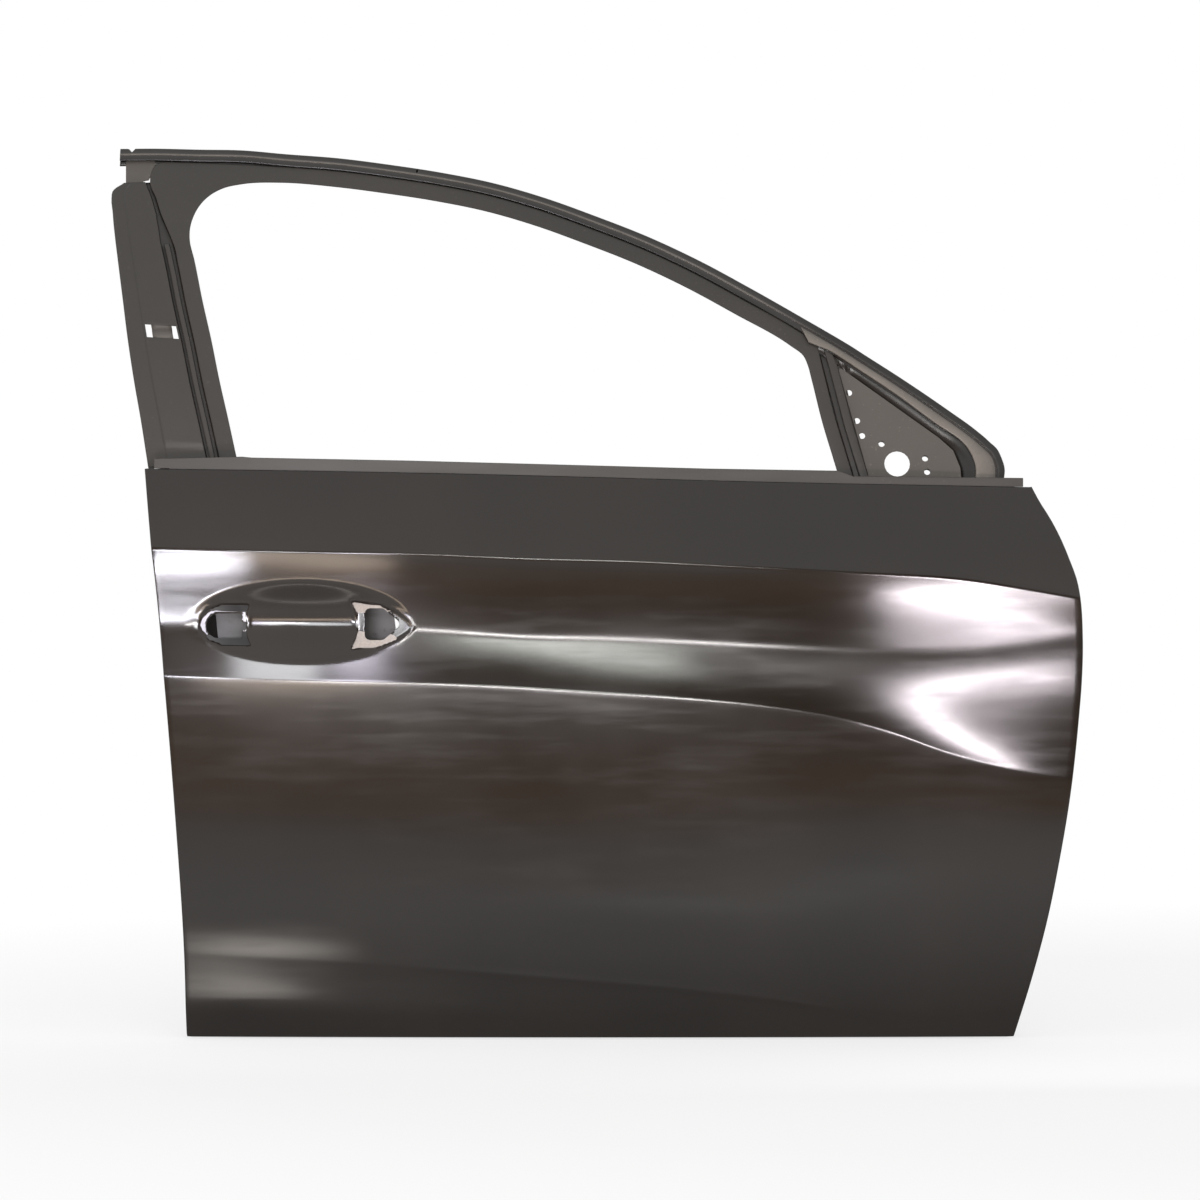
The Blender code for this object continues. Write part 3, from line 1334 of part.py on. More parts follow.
def handle_columns(grid):
    """The skin's columns over the length of the handle recess."""
    return grid[2 : 2 + HANDLE_COLUMNS]


def make_beam_pads(group, surface):
    """Mastic pads that hold the skin off the beam."""
    rear, front = beam_ends()
    for k, share in enumerate(BEAM_PAD_SHARES):
        centre = rear.lerp(front, share)
        ring = circle((centre.x, centre.z), PAD_DIAMETER, 8)
        near = max(plain_side(x, z) for x, z in ring) + SKIN_THICKNESS + 2 * CLEARANCE
        far = centre.y - BEAM_DIAMETER / 2 - CLEARANCE
        bm = bmesh.new()
        bmesh.ops.create_cone(
            bm, cap_ends=True, segments=20, radius1=PAD_DIAMETER / 2, radius2=PAD_DIAMETER / 2,
            depth=far - near,
        )
        made = new_object(f"mastic_pad_{k + 1}", mesh_of(f"mastic_pad_{k + 1}", bm), group, surface)
        made.location = (centre.x, (near + far) / 2, centre.z)
        made.rotation_euler = (math.pi / 2, 0, 0)


def make_stiffener(grid, group, surface):
    """A hat section that follows the inside of the skin along the door."""
    seat = SKIN_THICKNESS + 2 * CLEARANCE + BRACKET_THICKNESS / 2
    rear, front = beam_ends()
    low = rear.lerp(front, BEAM_PAD_SHARES[-1]).z + PAD_DIAMETER / 2
    high = min(column[HANDLE_PLATE_ROWS[0]].z for column in handle_columns(grid))
    middle = (low + high) / 2
    half = STIFFENER_WIDTH / 2
    web = half - STIFFENER_FLANGE
    rows = []
    for share in np.linspace(*STIFFENER_SHARES, STIFFENER_STATIONS):
        x = along(share)
        row = []
        for up, depth in (
            (-half, 0.0), (-web, 0.0), (-web + STIFFENER_FLANGE / 2, STIFFENER_DEPTH),
            (web - STIFFENER_FLANGE / 2, STIFFENER_DEPTH), (web, 0.0), (half, 0.0),
        ):
            z = middle + up
            row.append((x, plain_side(x, z) + seat + depth, z))
        rows.append(row)
    return sheet("skin_stiffener", rows, BRACKET_THICKNESS, group, surface)


def make_handle_plate(grid, group, cutters, surface):
    """The plate behind the handle recess, which follows its dish and shares its two openings."""
    seat = Vector((0, SKIN_THICKNESS + BRACKET_THICKNESS / 2 + 4 * CLEARANCE, 0))
    low, high = HANDLE_PLATE_ROWS
    rows = [[point + seat for point in column[low : high + 1]] for column in handle_columns(grid)]
    made = sheet("handle_reinforcement", rows, BRACKET_THICKNESS, group, surface)
    cut(made, cutters.objects["latch_opening"], "latch opening")
    cut(made, cutters.objects["grip_opening"], "grip opening")
    return made


def make_armrest_bracket(group, surface):
    """The bracket on the trim face that the door pull bolts to: two feet and a raised bridge."""
    x, z = trim_place(ARMREST_SHARES)
    near = TRIM_FACE_Y + INNER_THICKNESS / 2 + CLEARANCE + BRACKET_THICKNESS / 2
    far = near + ARMREST_STANDOFF
    half = ARMREST_LENGTH / 2
    rows = []
    for height in (z - ARMREST_HEIGHT / 2, z + ARMREST_HEIGHT / 2):
        rows.append([
            (x - half, near, height), (x - half + ARMREST_FOOT, near, height),
            (x - half + 2 * ARMREST_FOOT, far, height), (x + half - 2 * ARMREST_FOOT, far, height),
            (x + half - ARMREST_FOOT, near, height), (x + half, near, height),
        ])
    return sheet("armrest_bracket", rows, BRACKET_THICKNESS, group, surface)


def make_nut(name, place, axis, group, surface):
    """A hexagonal weld nut with its bore along the axis."""
    bm = bmesh.new()
    edges = []
    for loop in (circle((0, 0), 2 * NUT_RADIUS, 6), circle((0, 0), 2 * NUT_BORE, 12)):
        edges += ring_edges(bm, [bm.verts.new((x, y, 0)) for x, y in loop])
    bmesh.ops.triangle_fill(bm, use_beauty=True, edges=edges)
    made = new_object(name, mesh_of(name, bm), group, surface)
    thicken(made, NUT_HEIGHT)
    made.location = place
    made.rotation_mode = "QUATERNION"
    made.rotation_quaternion = Vector(axis).to_track_quat("Z", "Y")
    return made


def make_nuts(group, surface):
    """Weld nuts on the hinge plates and on the mirror plate."""
    behind = INNER_THICKNESS + HINGE_PLATE_THICKNESS + NUT_HEIGHT / 2 + 2 * CLEARANCE
    names = ("upper_hinge_nut_1", "upper_hinge_nut_2", "lower_hinge_nut_1", "lower_hinge_nut_2")
    for name, (face, y, z) in zip(names, hinge_bolt_places()):
        make_nut(name, (face - behind, y, z), (1, 0, 0), group, surface)
    axis = Vector((0, 1, -glass_slope(frame_height(MIRROR_TOP_SHARE / 2)))).normalized()
    reach = MIRROR_THICKNESS / 2 + CLEARANCE + NUT_HEIGHT / 2
    for k, (x, z) in enumerate(mirror_holes(MIRROR_STUD_SHARES[2:5])):
        place = Vector((x, mirror_depth(z), z)) + axis * reach
        make_nut(f"mirror_nut_{k + 1}", place, axis, group, surface)


def main():
    for old in list(bpy.data.objects):
        bpy.data.objects.remove(old, do_unlink=True)
    group = bpy.data.collections.new("car_door_shell")
    cutters = bpy.data.collections.new("cutters")
    bpy.context.scene.collection.children.link(group)
    bpy.context.scene.collection.children.link(cutters)
    skin = material("skin_primer", PRIMER_SKIN, 0.30)
    inner = material("inner_primer", PRIMER_INNER, 0.45)
    frame = material("frame_primer", PRIMER_FRAME, 0.45)
    mastic = material("mastic", MASTIC, 0.85)
    grid = skin_grid()
    upper, lower = hinge_pads()
    make_outer_panel(grid, group, cutters, skin)
    make_inner_panel(grid, group, cutters, inner)
    make_window_frame(group, frame)
    make_header_rail(group, cutters, frame)
    make_pillar_plate(group, cutters, frame)
    make_pillar_rib(group, frame)
    make_corner_bracket(group, frame)
    make_front_brace(group, frame)
    make_mirror_rib(group, frame)
    make_mirror_plate(group, frame)
    make_outer_belt(group, cutters, frame)
    make_inner_belt(group, inner)
    make_frame_foot("frame_foot_rear", True, group, inner)
    make_frame_foot("frame_foot_front", False, group, inner)
    make_glass_guide("glass_guide_rear", True, group, inner)
    make_glass_guide("glass_guide_front", False, group, inner)
    make_hinge_plate("hinge_reinforcement_upper", upper, group, cutters, inner)
    make_hinge_plate("hinge_reinforcement_lower", lower, group, cutters, inner)
    make_check_plate(group, cutters, inner)
    make_latch_plate(group, cutters, inner)
    make_beam(group, inner)
    make_beam_bracket("beam_bracket_rear", True, group, inner)
    make_beam_bracket("beam_bracket_front", False, group, inner)
    make_beam_pads(group, mastic)
    make_stiffener(grid, group, inner)
    make_handle_plate(grid, group, cutters, inner)
    make_armrest_bracket(group, inner)
    make_nuts(group, inner)


main()
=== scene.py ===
"""Looks of a bare, primed front door shell of a passenger car.

The skin, the window frame and the plates round it are rebuilt as fine surfaces from the door's own
cross levels and outlines. The pressings behind them keep their forms, with rounded folds. Metres,
+X towards the front of the car, +Y towards the cabin, +Z up.
"""

import math

import bmesh
import bpy
import numpy as np
from bpy.props import FloatProperty, FloatVectorProperty, PointerProperty
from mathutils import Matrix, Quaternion, Vector


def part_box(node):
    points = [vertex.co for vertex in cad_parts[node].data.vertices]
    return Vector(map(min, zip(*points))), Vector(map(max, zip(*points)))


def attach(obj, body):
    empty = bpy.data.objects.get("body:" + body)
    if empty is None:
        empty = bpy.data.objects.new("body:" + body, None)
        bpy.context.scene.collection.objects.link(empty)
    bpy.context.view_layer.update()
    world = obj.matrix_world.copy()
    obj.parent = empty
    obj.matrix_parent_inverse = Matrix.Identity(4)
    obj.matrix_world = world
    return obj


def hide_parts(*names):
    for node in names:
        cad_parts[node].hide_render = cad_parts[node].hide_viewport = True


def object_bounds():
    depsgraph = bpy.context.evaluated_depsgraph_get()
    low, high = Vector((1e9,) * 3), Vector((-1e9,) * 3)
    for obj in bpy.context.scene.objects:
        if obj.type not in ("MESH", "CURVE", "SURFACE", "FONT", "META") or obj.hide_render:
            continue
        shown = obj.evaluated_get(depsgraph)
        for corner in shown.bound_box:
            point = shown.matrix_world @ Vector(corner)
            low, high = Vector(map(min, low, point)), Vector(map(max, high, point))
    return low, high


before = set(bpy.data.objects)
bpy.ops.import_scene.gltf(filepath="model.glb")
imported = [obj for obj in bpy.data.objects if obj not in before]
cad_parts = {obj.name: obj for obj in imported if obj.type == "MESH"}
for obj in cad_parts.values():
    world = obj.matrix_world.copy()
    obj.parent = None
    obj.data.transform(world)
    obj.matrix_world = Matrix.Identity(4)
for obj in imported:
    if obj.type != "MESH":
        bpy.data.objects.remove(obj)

bl_info = {
    "name": "Car door shell",
    "version": (1, 0, 0),
    "blender": (4, 5, 0),
    "location": "View3D > Sidebar > Door shell",
    "description": "Builds the fine surfaces, primer finishes and studio of a bare car door shell",
    "category": "Mesh",
}

CAD_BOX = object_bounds()

# Whole door
DOOR_LENGTH = 1.093
FRONT_OVERHANG = 0.0278
BODY_HEIGHT = 0.6635
SILL_DROP = 0.522
FRAME_RISE = 0.391
SIDE_BULGE = 0.060
BOW_FRONT = 0.015
BOW_REAR = 0.012

# Skin levels from the sill up: height shares along the door length, reach shares, slopes
LEVELS = (
    ([(0.0, 0.0), (1.0, 0.0)],
     [(0.0, 0.37), (1.0, 0.37)],
     ([(0.0, -0.20), (1.0, -0.20)], [(0.0, -0.20), (1.0, -0.20)])),
    ([(0.0, 0.150), (0.253, 0.129), (0.418, 0.108), (0.568, 0.087), (0.669, 0.068), (0.769, 0.048),
      (0.835, 0.038), (1.0, 0.036)],
     [(0.0, 0.53), (0.57, 0.52), (0.80, 0.43), (1.0, 0.42)],
     ([(0.0, -0.11), (0.20, -0.13), (0.40, -0.19), (0.70, -0.19), (0.85, -0.14), (1.0, -0.11)],
      [(0.0, -0.11), (0.40, -0.095), (0.80, -0.095), (1.0, -0.11)])),
    ([(0.0, 0.637), (0.168, 0.629), (0.338, 0.622), (0.494, 0.607), (0.580, 0.598), (0.665, 0.584),
      (0.741, 0.563), (0.801, 0.535), (0.855, 0.502), (0.908, 0.478), (1.0, 0.452)],
     [(0.0, 0.92), (0.55, 0.91), (0.80, 0.90), (1.0, 0.90)],
     ([(0.0, -0.03), (1.0, -0.03)], [(0.0, 0.15), (0.65, 0.15), (0.90, 0.10), (1.0, 0.02)])),
    ([(0.0, 0.726), (0.295, 0.717), (0.409, 0.705), (0.494, 0.702), (0.580, 0.696), (0.693, 0.687),
      (0.805, 0.680), (0.890, 0.682), (1.0, 0.700)],
     [(0.0, 0.83), (0.55, 0.82), (0.80, 0.86), (1.0, 0.93)],
     ([(0.0, 0.05), (0.70, 0.05), (0.90, 0.03), (1.0, 0.0)],
      [(0.0, -0.05), (0.70, -0.05), (0.90, -0.03), (1.0, 0.0)])),
    ([(0.0, 0.860), (0.168, 0.853), (0.295, 0.849), (0.409, 0.841), (0.523, 0.836), (0.636, 0.827),
      (0.741, 0.818), (0.883, 0.803), (0.950, 0.785), (1.0, 0.771)],
     [(0.0, 1.0), (1.0, 1.0)],
     ([(0.0, -0.25), (0.60, -0.25), (0.85, -0.16), (1.0, -0.10)], [(0.0, 0.22), (1.0, 0.22)])),
    ([(0.0, 1.0), (0.126, 0.9974), (0.338, 0.9908), (0.677, 0.9761), (1.0, 0.966)],
     [(0.0, 0.58), (1.0, 0.58)],
     ([(0.0, 0.30), (1.0, 0.30)], [(0.0, 0.30), (1.0, 0.30)])),
)
REAR_EDGE = [
    (0.0, 0.0444), (0.175, 0.0417), (0.385, 0.0342), (0.594, 0.0247), (0.804, 0.0131), (1.0, 0.0003),
]
FRONT_EDGE = [
    (0.0, 0.9289), (0.105, 0.9480), (0.210, 0.9640), (0.315, 0.9761), (0.420, 0.9863),
    (0.490, 0.9916), (0.560, 0.9958), (0.629, 0.9990), (0.699, 1.0), (0.769, 0.9973),
    (0.804, 0.9937), (0.839, 0.9863), (0.874, 0.9778), (0.909, 0.9672), (0.944, 0.9544),
    (0.9685, 0.9469), (1.0, 0.9370),
]

# The valley's place in LEVELS, its extra rounding and how far up and down that reaches
VALLEY = 3
VALLEY_SOFTNESS = 0.0025
VALLEY_REACH = 0.02

# Grid of the skin: rows from level to level, the even part of their spacing, the x where the handle
# area starts and ends, and the columns before, over and after it
ROWS_BY_LEVEL = (14, 36, 36, 46, 16)
ROW_EVENNESS = 0.2
HANDLE_SPAN = (-1.022, -0.742)
COLUMNS = (9, 179, 96)
SILL_FADE = 0.03
OPENING_SNAP = 0.0011

# Slight crowns of the skin: line of (x, z), height along x, width across
CROWNS = (
    ([(-1.04, -0.484), (-0.92, -0.488), (-0.80, -0.494), (-0.60, -0.50)],
     [(-1.04, 0.0014), (-0.90, 0.0014), (-0.80, 0.0008), (-0.66, 0.0)], 0.020),
    ([(-0.75, -0.350), (-0.53, -0.365), (-0.30, -0.385), (-0.13, -0.412)],
     [(-0.80, 0.0), (-0.62, 0.0008), (-0.40, 0.0008), (-0.13, 0.0)], 0.034),
    ([(-0.789, -0.4360), (-0.608, -0.4500), (-0.444, -0.4640), (-0.334, -0.4767), (-0.225, -0.4965),
      (-0.153, -0.5127)],
     [(-0.789, 0.0), (-0.65, 0.0002), (-0.20, 0.0002), (-0.153, 0.0)], 0.0028),
)

# Handle recess and its two openings: (length share, height share) and sizes
BOWL = (0.168, 0.731)
BOWL_LENGTH = 0.262
BOWL_HEIGHT = 0.098
BOWL_DEPTH = 0.020
LATCH_OPENING = (0.0884, 0.7240)
LATCH_OPENING_SIZE = (0.046, 0.029)
GRIP_OPENING = (0.2560, 0.7270)
GRIP_OPENING_SIZE = (0.044, 0.037)

# Flat floors of the two handle pockets: depth, rim height, wall width and (x, z) outlines
POCKET_DEPTH = 0.0004
POCKET_RIM = 0.0005
POCKET_WALL = 0.0022
LATCH_POCKET = (
    (-0.9423, -0.0174), (-0.9446, -0.0255), (-0.9452, -0.0406), (-0.9446, -0.0546), (-0.9411, -0.0638),
    (-0.9725, -0.0633), (-0.9887, -0.0580), (-0.9974, -0.0488), (-0.9997, -0.0406), (-0.9974, -0.0313),
    (-0.9899, -0.0226), (-0.9736, -0.0174),
)
GRIP_POCKET = (
    (-0.8215, -0.0151), (-0.8169, -0.0267), (-0.8151, -0.0418), (-0.8169, -0.0557), (-0.8215, -0.0673),
    (-0.7913, -0.0656), (-0.7693, -0.0580), (-0.7565, -0.0482), (-0.7530, -0.0429), (-0.7565, -0.0360),
    (-0.7693, -0.0261), (-0.7913, -0.0174),
)

# Folded edge of the skin
SKIN_THICKNESS = 0.0008
FOLD_RADIUS = 0.00155
FOLD_RETURN = 0.0095

# Window frame, its rail, plates and the strips round the mirror plate
GLASS_LEAN = 0.15
FRAME_THICKNESS = 0.0012
CLEARANCE = 0.0003
STATION_STEP = 0.004
FRAME_FACE_Y = -0.010
GLASS_RADIUS = 0.9
FRAME_BAND = 0.0195
FRAME_DEPTH = 0.026
FRAME_LIP = 0.006
FRAME_BAND_STEP = 0.003
LEG_STATIONS = 3
RAIL_STEP = 0.002
RAIL_WIDTH = 0.0145
RAIL_GAP = 0.0008
RAIL_DEPTH = 0.024
RAIL_BEAD = 0.0012
RAIL_LAP = 0.007
RAIL_LAP_DEPTH = 0.0048
RIB_WIDTH = 0.0055
RIB_GAP = 0.004
GROOVE = 0.005
GROOVE_DEPTH = 0.009
PLATE_EDGE = 0.018
PLATE_FLANGE = 0.014
PLATE_STEP = 0.002
PLATE_STEP_SHARE = 0.35
PAD_TOP_SHARE = 0.082
PAD_FADE = 0.004
PAD_SINK = 0.8 * PLATE_STEP
PAD_MARGIN = 0.02
NOTCH_WIDTH = 0.008
NOTCH_DEPTH = 0.0054
NOTCH_SHARES = (-0.0285, 0.9953)
BRACE_LAP = 0.0055
MIRROR_GROOVE = 0.007
MIRROR_RIB = 0.009
MIRROR_LAP = 0.004
MIRROR_SEAT = 0.006
MIRROR_THICKNESS = 0.002
MIRROR_TOP_SHARE = 0.3127
MIRROR_RIB_SHARE = 0.3731
MIRROR_RIB_SLANT = 0.62
MIRROR_BOTTOM_SHARE = -0.0534
PLATE_SLOT = (0.0120, 0.4176)
PLATE_SLOT_HEIGHT = 0.018
TAB_SHIFT = 0.0025
TAB_WIDTH = 0.024
TAB_HEIGHT = 1.12 * PLATE_SLOT_HEIGHT
TAB_THICKNESS = 0.0008
TAB_INBOARD = 0.0012
TAB_BOW = 0.0022
TAB_SLANT = 0.002

# Painted light and shade of the sections' points, from painted shade at 0 to painted highlight at 1: the
# rail's at the rear and, once past the length share and the fade, at the front. Light on the bead's ridge
# and on the brace's lap, the lap partly a paler sheet of its own; painted shade on the walls, outer edges
# and the seat under the mirror plate
RAIL_FADE = (0.66, 0.08)
RAIL_PAINTED_LIGHT = (
    (0.0, 0.0, 0.1, 0.35, 0.8, 0.35, 0.05, 0.0, 0.0),
    (0.0, 0.3, 0.3, 0.1, 0.3, 0.05, 0.0, 0.0, 0.0),
)
BRACE_PAINTED_LIGHT = (0.85, 0.9, 0.0, 0.1)

# Outlines round the window: (length share, frame share) pairs
RAIL_PINS = [(0.2856, 0.9230), (0.6296, 0.5800)]
HEADER_REAR = [
    (-0.0412, 0.9943), (-0.0086, 0.9953), (0.0464, 0.9920), (0.0938, 0.9894),
]
HEADER_FRONT = [
    (0.7471, 0.3878), (0.7556, 0.3731), (0.7705, 0.3455), (0.8087, 0.2753), (0.8617, 0.1721),
    (0.8882, 0.1176), (0.9030, 0.0814), (0.9130, 0.0513), (0.9176, 0.0182), (0.9182, -0.0328),
]
OPENING_REAR = [
    (0.0996, 0.0032), (0.0876, 0.1479), (0.0770, 0.2692), (0.0672, 0.3915), (0.0561, 0.5150),
    (0.0458, 0.6398), (0.0398, 0.7028), (0.0398, 0.7471), (0.0436, 0.7853), (0.0506, 0.8205),
    (0.0610, 0.8493), (0.0749, 0.8703),
]
OPENING_HEAD = [
    (0.0922, 0.8815), (0.1382, 0.8870), (0.1963, 0.8735), (0.2513, 0.8529), (0.3061, 0.8282),
    (0.3609, 0.7958), (0.4156, 0.7497), (0.4701, 0.6924), (0.5243, 0.6304), (0.5784, 0.5569),
    (0.6321, 0.4729), (0.6910, 0.3762),
]
OPENING_FRONT = [
    (0.7059, 0.3425), (0.7101, 0.3150), (0.7142, 0.2692), (0.7249, 0.1418), (0.7368, 0.0272),
]
FRAME_CORNER = [
    (0.0076, 0.7853), (0.0012, 0.8365), (-0.0064, 0.8880), (0.0000, 0.9460), (0.0309, 0.9510),
    (0.0638, 0.9470),
]
FRAME_FOREMOST = [
    (0.7196, 0.3792), (0.7236, 0.3302), (0.7276, 0.2814), (0.7383, 0.1554), (0.7505, 0.0378),
]
PLATE_OUTER = [
    (0.0033, 0.0032), (-0.0057, 0.1479), (-0.0143, 0.2692), (-0.0222, 0.3915), (-0.0293, 0.5150),
    (-0.0367, 0.6398), (-0.0405, 0.7028), (-0.0448, 0.7853), (-0.0473, 0.8526), (-0.0348, 0.8848),
]
BRACE_EDGE = [
    (0.7110, 0.3860), (0.7388, 0.3517), (0.7431, 0.3434), (0.7606, 0.3104), (0.8010, 0.2333),
    (0.8493, 0.1327), (0.8719, 0.0896), (0.8804, 0.0634), (0.8851, 0.0393), (0.8883, 0.0122),
    (0.8881, -0.0388),
]
BRACE_SEAT = [
    (0.7180, 0.3520), (0.7370, 0.3130), (0.7476, 0.2750), (0.7543, 0.2776), (0.7978, 0.1818),
    (0.8435, 0.0895), (0.8588, 0.0549), (0.8656, 0.0247), (0.8682, 0.0007), (0.8686, -0.0204),
    (0.8686, -0.0444),
]

# Camera at the photograph's viewing angle
CAMERA_DISTANCE = 5.0
CAMERA_FRAME = 1.392
CAMERA_AIM = (-0.5336, -0.05, -0.0116)
SENSOR = 36.0

# Dark flags ahead of the door: the wall's depth, the ground's nearest depth, half width, wall's top
FLAG_PLACES = (-6.4, -1.30, 4.5, 1.75)
# Their glow by depth: a painted reflection of a dark room, the ground lighter near the door as a painted
# pool of light
FLAG_PAINTED_GLOW = [
    (0.20, (0.62, 0.46, 0.36)), (0.29, (0.60, 0.37, 0.24)), (0.42, (0.30, 0.18, 0.11)),
    (0.99, (0.15, 0.09, 0.05)),
]

# Floor: half width, gap under the door, gap under the flags, and the mirrored floor's painted light by
# distance
# ahead of the door, in units of 2 m: a painted shadow close to the door, a painted pool of light further
# out
FLOOR_HALF = 9
FLOOR_GAP = 0.001
FLAG_LIFT = 0.002
FLOOR_PAINTED_POOL = [(0.05, 0.42), (0.2, 0.8), (0.31, 1.0), (0.55, 0.86), (0.8, 0.72)]
CORNERS = ((-1, -1), (1, -1), (1, 1), (-1, 1))

# Soft boxes: name, spot on the skin, azimuth, rise, distance, size, roll, brightness, tint
SOFT_BOXES = (
    ("valley_strip", (-0.53, -0.05, -0.06), -3.4, -0.5, 6.2, (1.9, 0.16), 0, 90.0, (1.0, 0.96, 0.95)),
    ("middle_box", (-0.53, -0.05, -0.08), -1.0, 7.0, 3.6, (0.62, 0.26), 0, 17.0, (0.97, 1.0, 0.94)),
    ("front_box", (-0.07, -0.05, 0.0), 6.2, -13.3, 0.62, (0.29, 0.026), 7, 70.0, (1.0, 0.91, 0.96)),
    ("rear_low_box", (-1.01, -0.03, 0.035), -11.3, -19.9, 0.325, (0.16, 0.018), -7, 75.0,
     (0.93, 0.91, 1.0)),
    ("rear_tail_box", (-0.88, -0.04, 0.035), -8.5, -23.5, 0.4, (0.26, 0.04), 0, 6.0, (1.0, 0.82, 0.66)),
    ("latch_box", (-0.972, -0.045, -0.041), 16.5, 0.5, 0.4, (0.11, 0.06), 0, 24.0, (0.9, 0.86, 1.0)),
    ("grip_box", (-0.788, -0.045, -0.043), -25.0, 4.0, 0.4, (0.12, 0.08), 0, 14.0, (0.95, 0.97, 1.0)),
)

# Low glowing cards, no lamps, that only the gloss mirrors as painted highlights low on the skin: name,
# centre, half length and half height, brightness, tint
LOW_HIGHLIGHT_CARDS = (
    ("rear_sill_card", (-0.985, -0.31, -0.502), (0.15, 0.019), 7.0, (1.0, 0.93, 0.86)),
    ("sill_card", (-0.31, -0.65, -0.500), (0.36, 0.020), 1.6, (1.0, 1.0, 0.98)),
)


# ---- Settings that a user would change

class DoorShellSettings(bpy.types.PropertyGroup):
    """Sizes and colours of the door shell's surfaces."""

    crease_softness: FloatProperty(
        name="Crease softness", description="How far a crease of the skin is rounded to each side",
        default=0.0012, min=0.0003, max=0.02, unit="LENGTH",
    )
    fold_softness: FloatProperty(
        name="Fold softness", description="Radius of the folds of frame members and pressings",
        default=0.0012, min=0.0002, max=0.004, unit="LENGTH",
    )
    skin_color: FloatVectorProperty(
        name="Skin primer", description="Colour of the primer on the skin",
        default=(0.0120, 0.0092, 0.0072), min=0.0, max=1.0, subtype="COLOR",
    )
    frame_color: FloatVectorProperty(
        name="Frame primer", description="Colour of the primer on the window frame and its plates",
        default=(0.0300, 0.0262, 0.0225), min=0.0, max=1.0, subtype="COLOR",
    )
    inner_color: FloatVectorProperty(
        name="Inner primer", description="Colour of the primer on the pressings behind the skin",
        default=(0.0250, 0.0220, 0.0195), min=0.0, max=1.0, subtype="COLOR",
    )
    mastic_color: FloatVectorProperty(
        name="Mastic", description="Colour of the pads between beam and skin",
        default=(0.10, 0.10, 0.10), min=0.0, max=1.0, subtype="COLOR",
    )
    light_level: FloatProperty(
        name="Light level", description="Strength of the studio's even light",
        default=0.9, min=0.0, max=3.0,
    )


# ---- Curves and surfaces of the door

def along(share):
    """Place on the door's length, from its rear end at 0 to its foremost edge at 1."""
    return FRONT_OVERHANG - DOOR_LENGTH * (1 - share)


def body_height(share):
    """Height on the door body, from the lower edge at 0 to the rear end of the belt at 1."""
    return BODY_HEIGHT * share - SILL_DROP


def frame_height(share):
    """Height on the window frame, from the belt at 0 to the top of the header at 1."""
    return body_height(1) + FRAME_RISE * share


def frame_points(shares):
    """(x, z) places of a table of (length share, frame share) pairs."""
    return np.array([(along(a), frame_height(b)) for a, b in shares])


def smooth(table, place):
    """Cubic through a table of (place, value) pairs, whose slopes are those of its neighbours."""
    places, values = np.array(table).T
    slopes = np.gradient(values, places)
    i = np.clip(np.searchsorted(places, place) - 1, 0, len(places) - 2)
    span = places[i + 1] - places[i]
    t = np.clip((place - places[i]) / span, 0, 1)
    return hermite(values[i], slopes[i] * span, values[i + 1], slopes[i + 1] * span, t)


def hermite(start, slope_start, end, slope_end, t):
    """Cubic from start to end with given slopes per unit of t."""
    return (
        (2 * t**3 - 3 * t**2 + 1) * start + (t**3 - 2 * t**2 + t) * slope_start
        + (3 * t**2 - 2 * t**3) * end + (t**3 - t**2) * slope_end
    )


def straight(table, place):
    """Straight lines through a table of (place, value) pairs."""
    places, values = np.array(table).T
    return np.interp(place, places, values)


def length_share(x):
    """Share of the door's length at a place, from 0 at its rear end to 1 at its foremost edge."""
    return np.clip(1 - (FRONT_OVERHANG - x) / DOOR_LENGTH, 0, 1)


def picked(table, level):
    """From a table with one layer for each cross level, the values of each place's own level."""
    return np.take_along_axis(table, level[None], 0)[0]


def plain_side(x, z):
    """Depth of the skin: cubics in height between the cross levels, plus the bow in plan."""
    share = length_share(x)
    heights = np.array([body_height(smooth(level[0], share)) for level in LEVELS])
    k = np.clip((heights < z).sum(0) - 1, 0, len(LEVELS) - 2)
    reach = np.array([-SIDE_BULGE * smooth(level[1], share) for level in LEVELS])
    above = np.array([straight(level[2][1], share) for level in LEVELS])
    below = np.array([straight(level[2][0], share) for level in LEVELS])

    low, high = picked(heights, k), picked(heights, k + 1)
    rise = high - low
    depth = hermite(
        picked(reach, k), picked(above, k) * rise, picked(reach, k + 1), picked(below, k + 1) * rise,
        (z - low) / rise,
    )
    ahead = np.clip(2 * share - 1, 0, None)
    behind = np.clip(1 - 2 * share, 0, None)
    return depth + BOW_FRONT * ahead**2 + BOW_REAR * behind**2


def bowl(x, z):
    """Handle recess: an oval dish, its depth the 1.5th power of what is left inside the oval."""
    across = (x - along(BOWL[0])) / (BOWL_LENGTH / 2)
    up = (z - body_height(BOWL[1])) / (BOWL_HEIGHT / 2)
    return BOWL_DEPTH * np.clip(1 - across**2 - up**2, 0, None) ** 1.5


def crowns(x, z):
    """Slight crowns and hollows of the pressing: each a bell across its line, its height read along
    the door's length."""
    total = np.zeros(np.broadcast(x, z).shape)
    for line, height, width in CROWNS:
        across = (z - smooth(line, x)) / width
        total = total - straight(height, x) * np.exp(-across * across)
    return total


def soft_side(x, z, softness):
    """The skin's depth averaged over a short height with bell weights, which rounds its creases, the
    valley's more than the others."""
    valley = z - body_height(smooth(LEVELS[VALLEY][0], length_share(x)))
    softness = softness + VALLEY_SOFTNESS * np.exp(-(valley / VALLEY_REACH) ** 2)
    steps = np.linspace(-1, 1, 9)
    weights = np.exp(-2 * steps**2)
    total = sum(
        weight * (plain_side(x, z + softness * 2 * step) + bowl(x, z + softness * step))
        for step, weight in zip(steps, weights)
    )
    return total / weights.sum() + crowns(x, z)


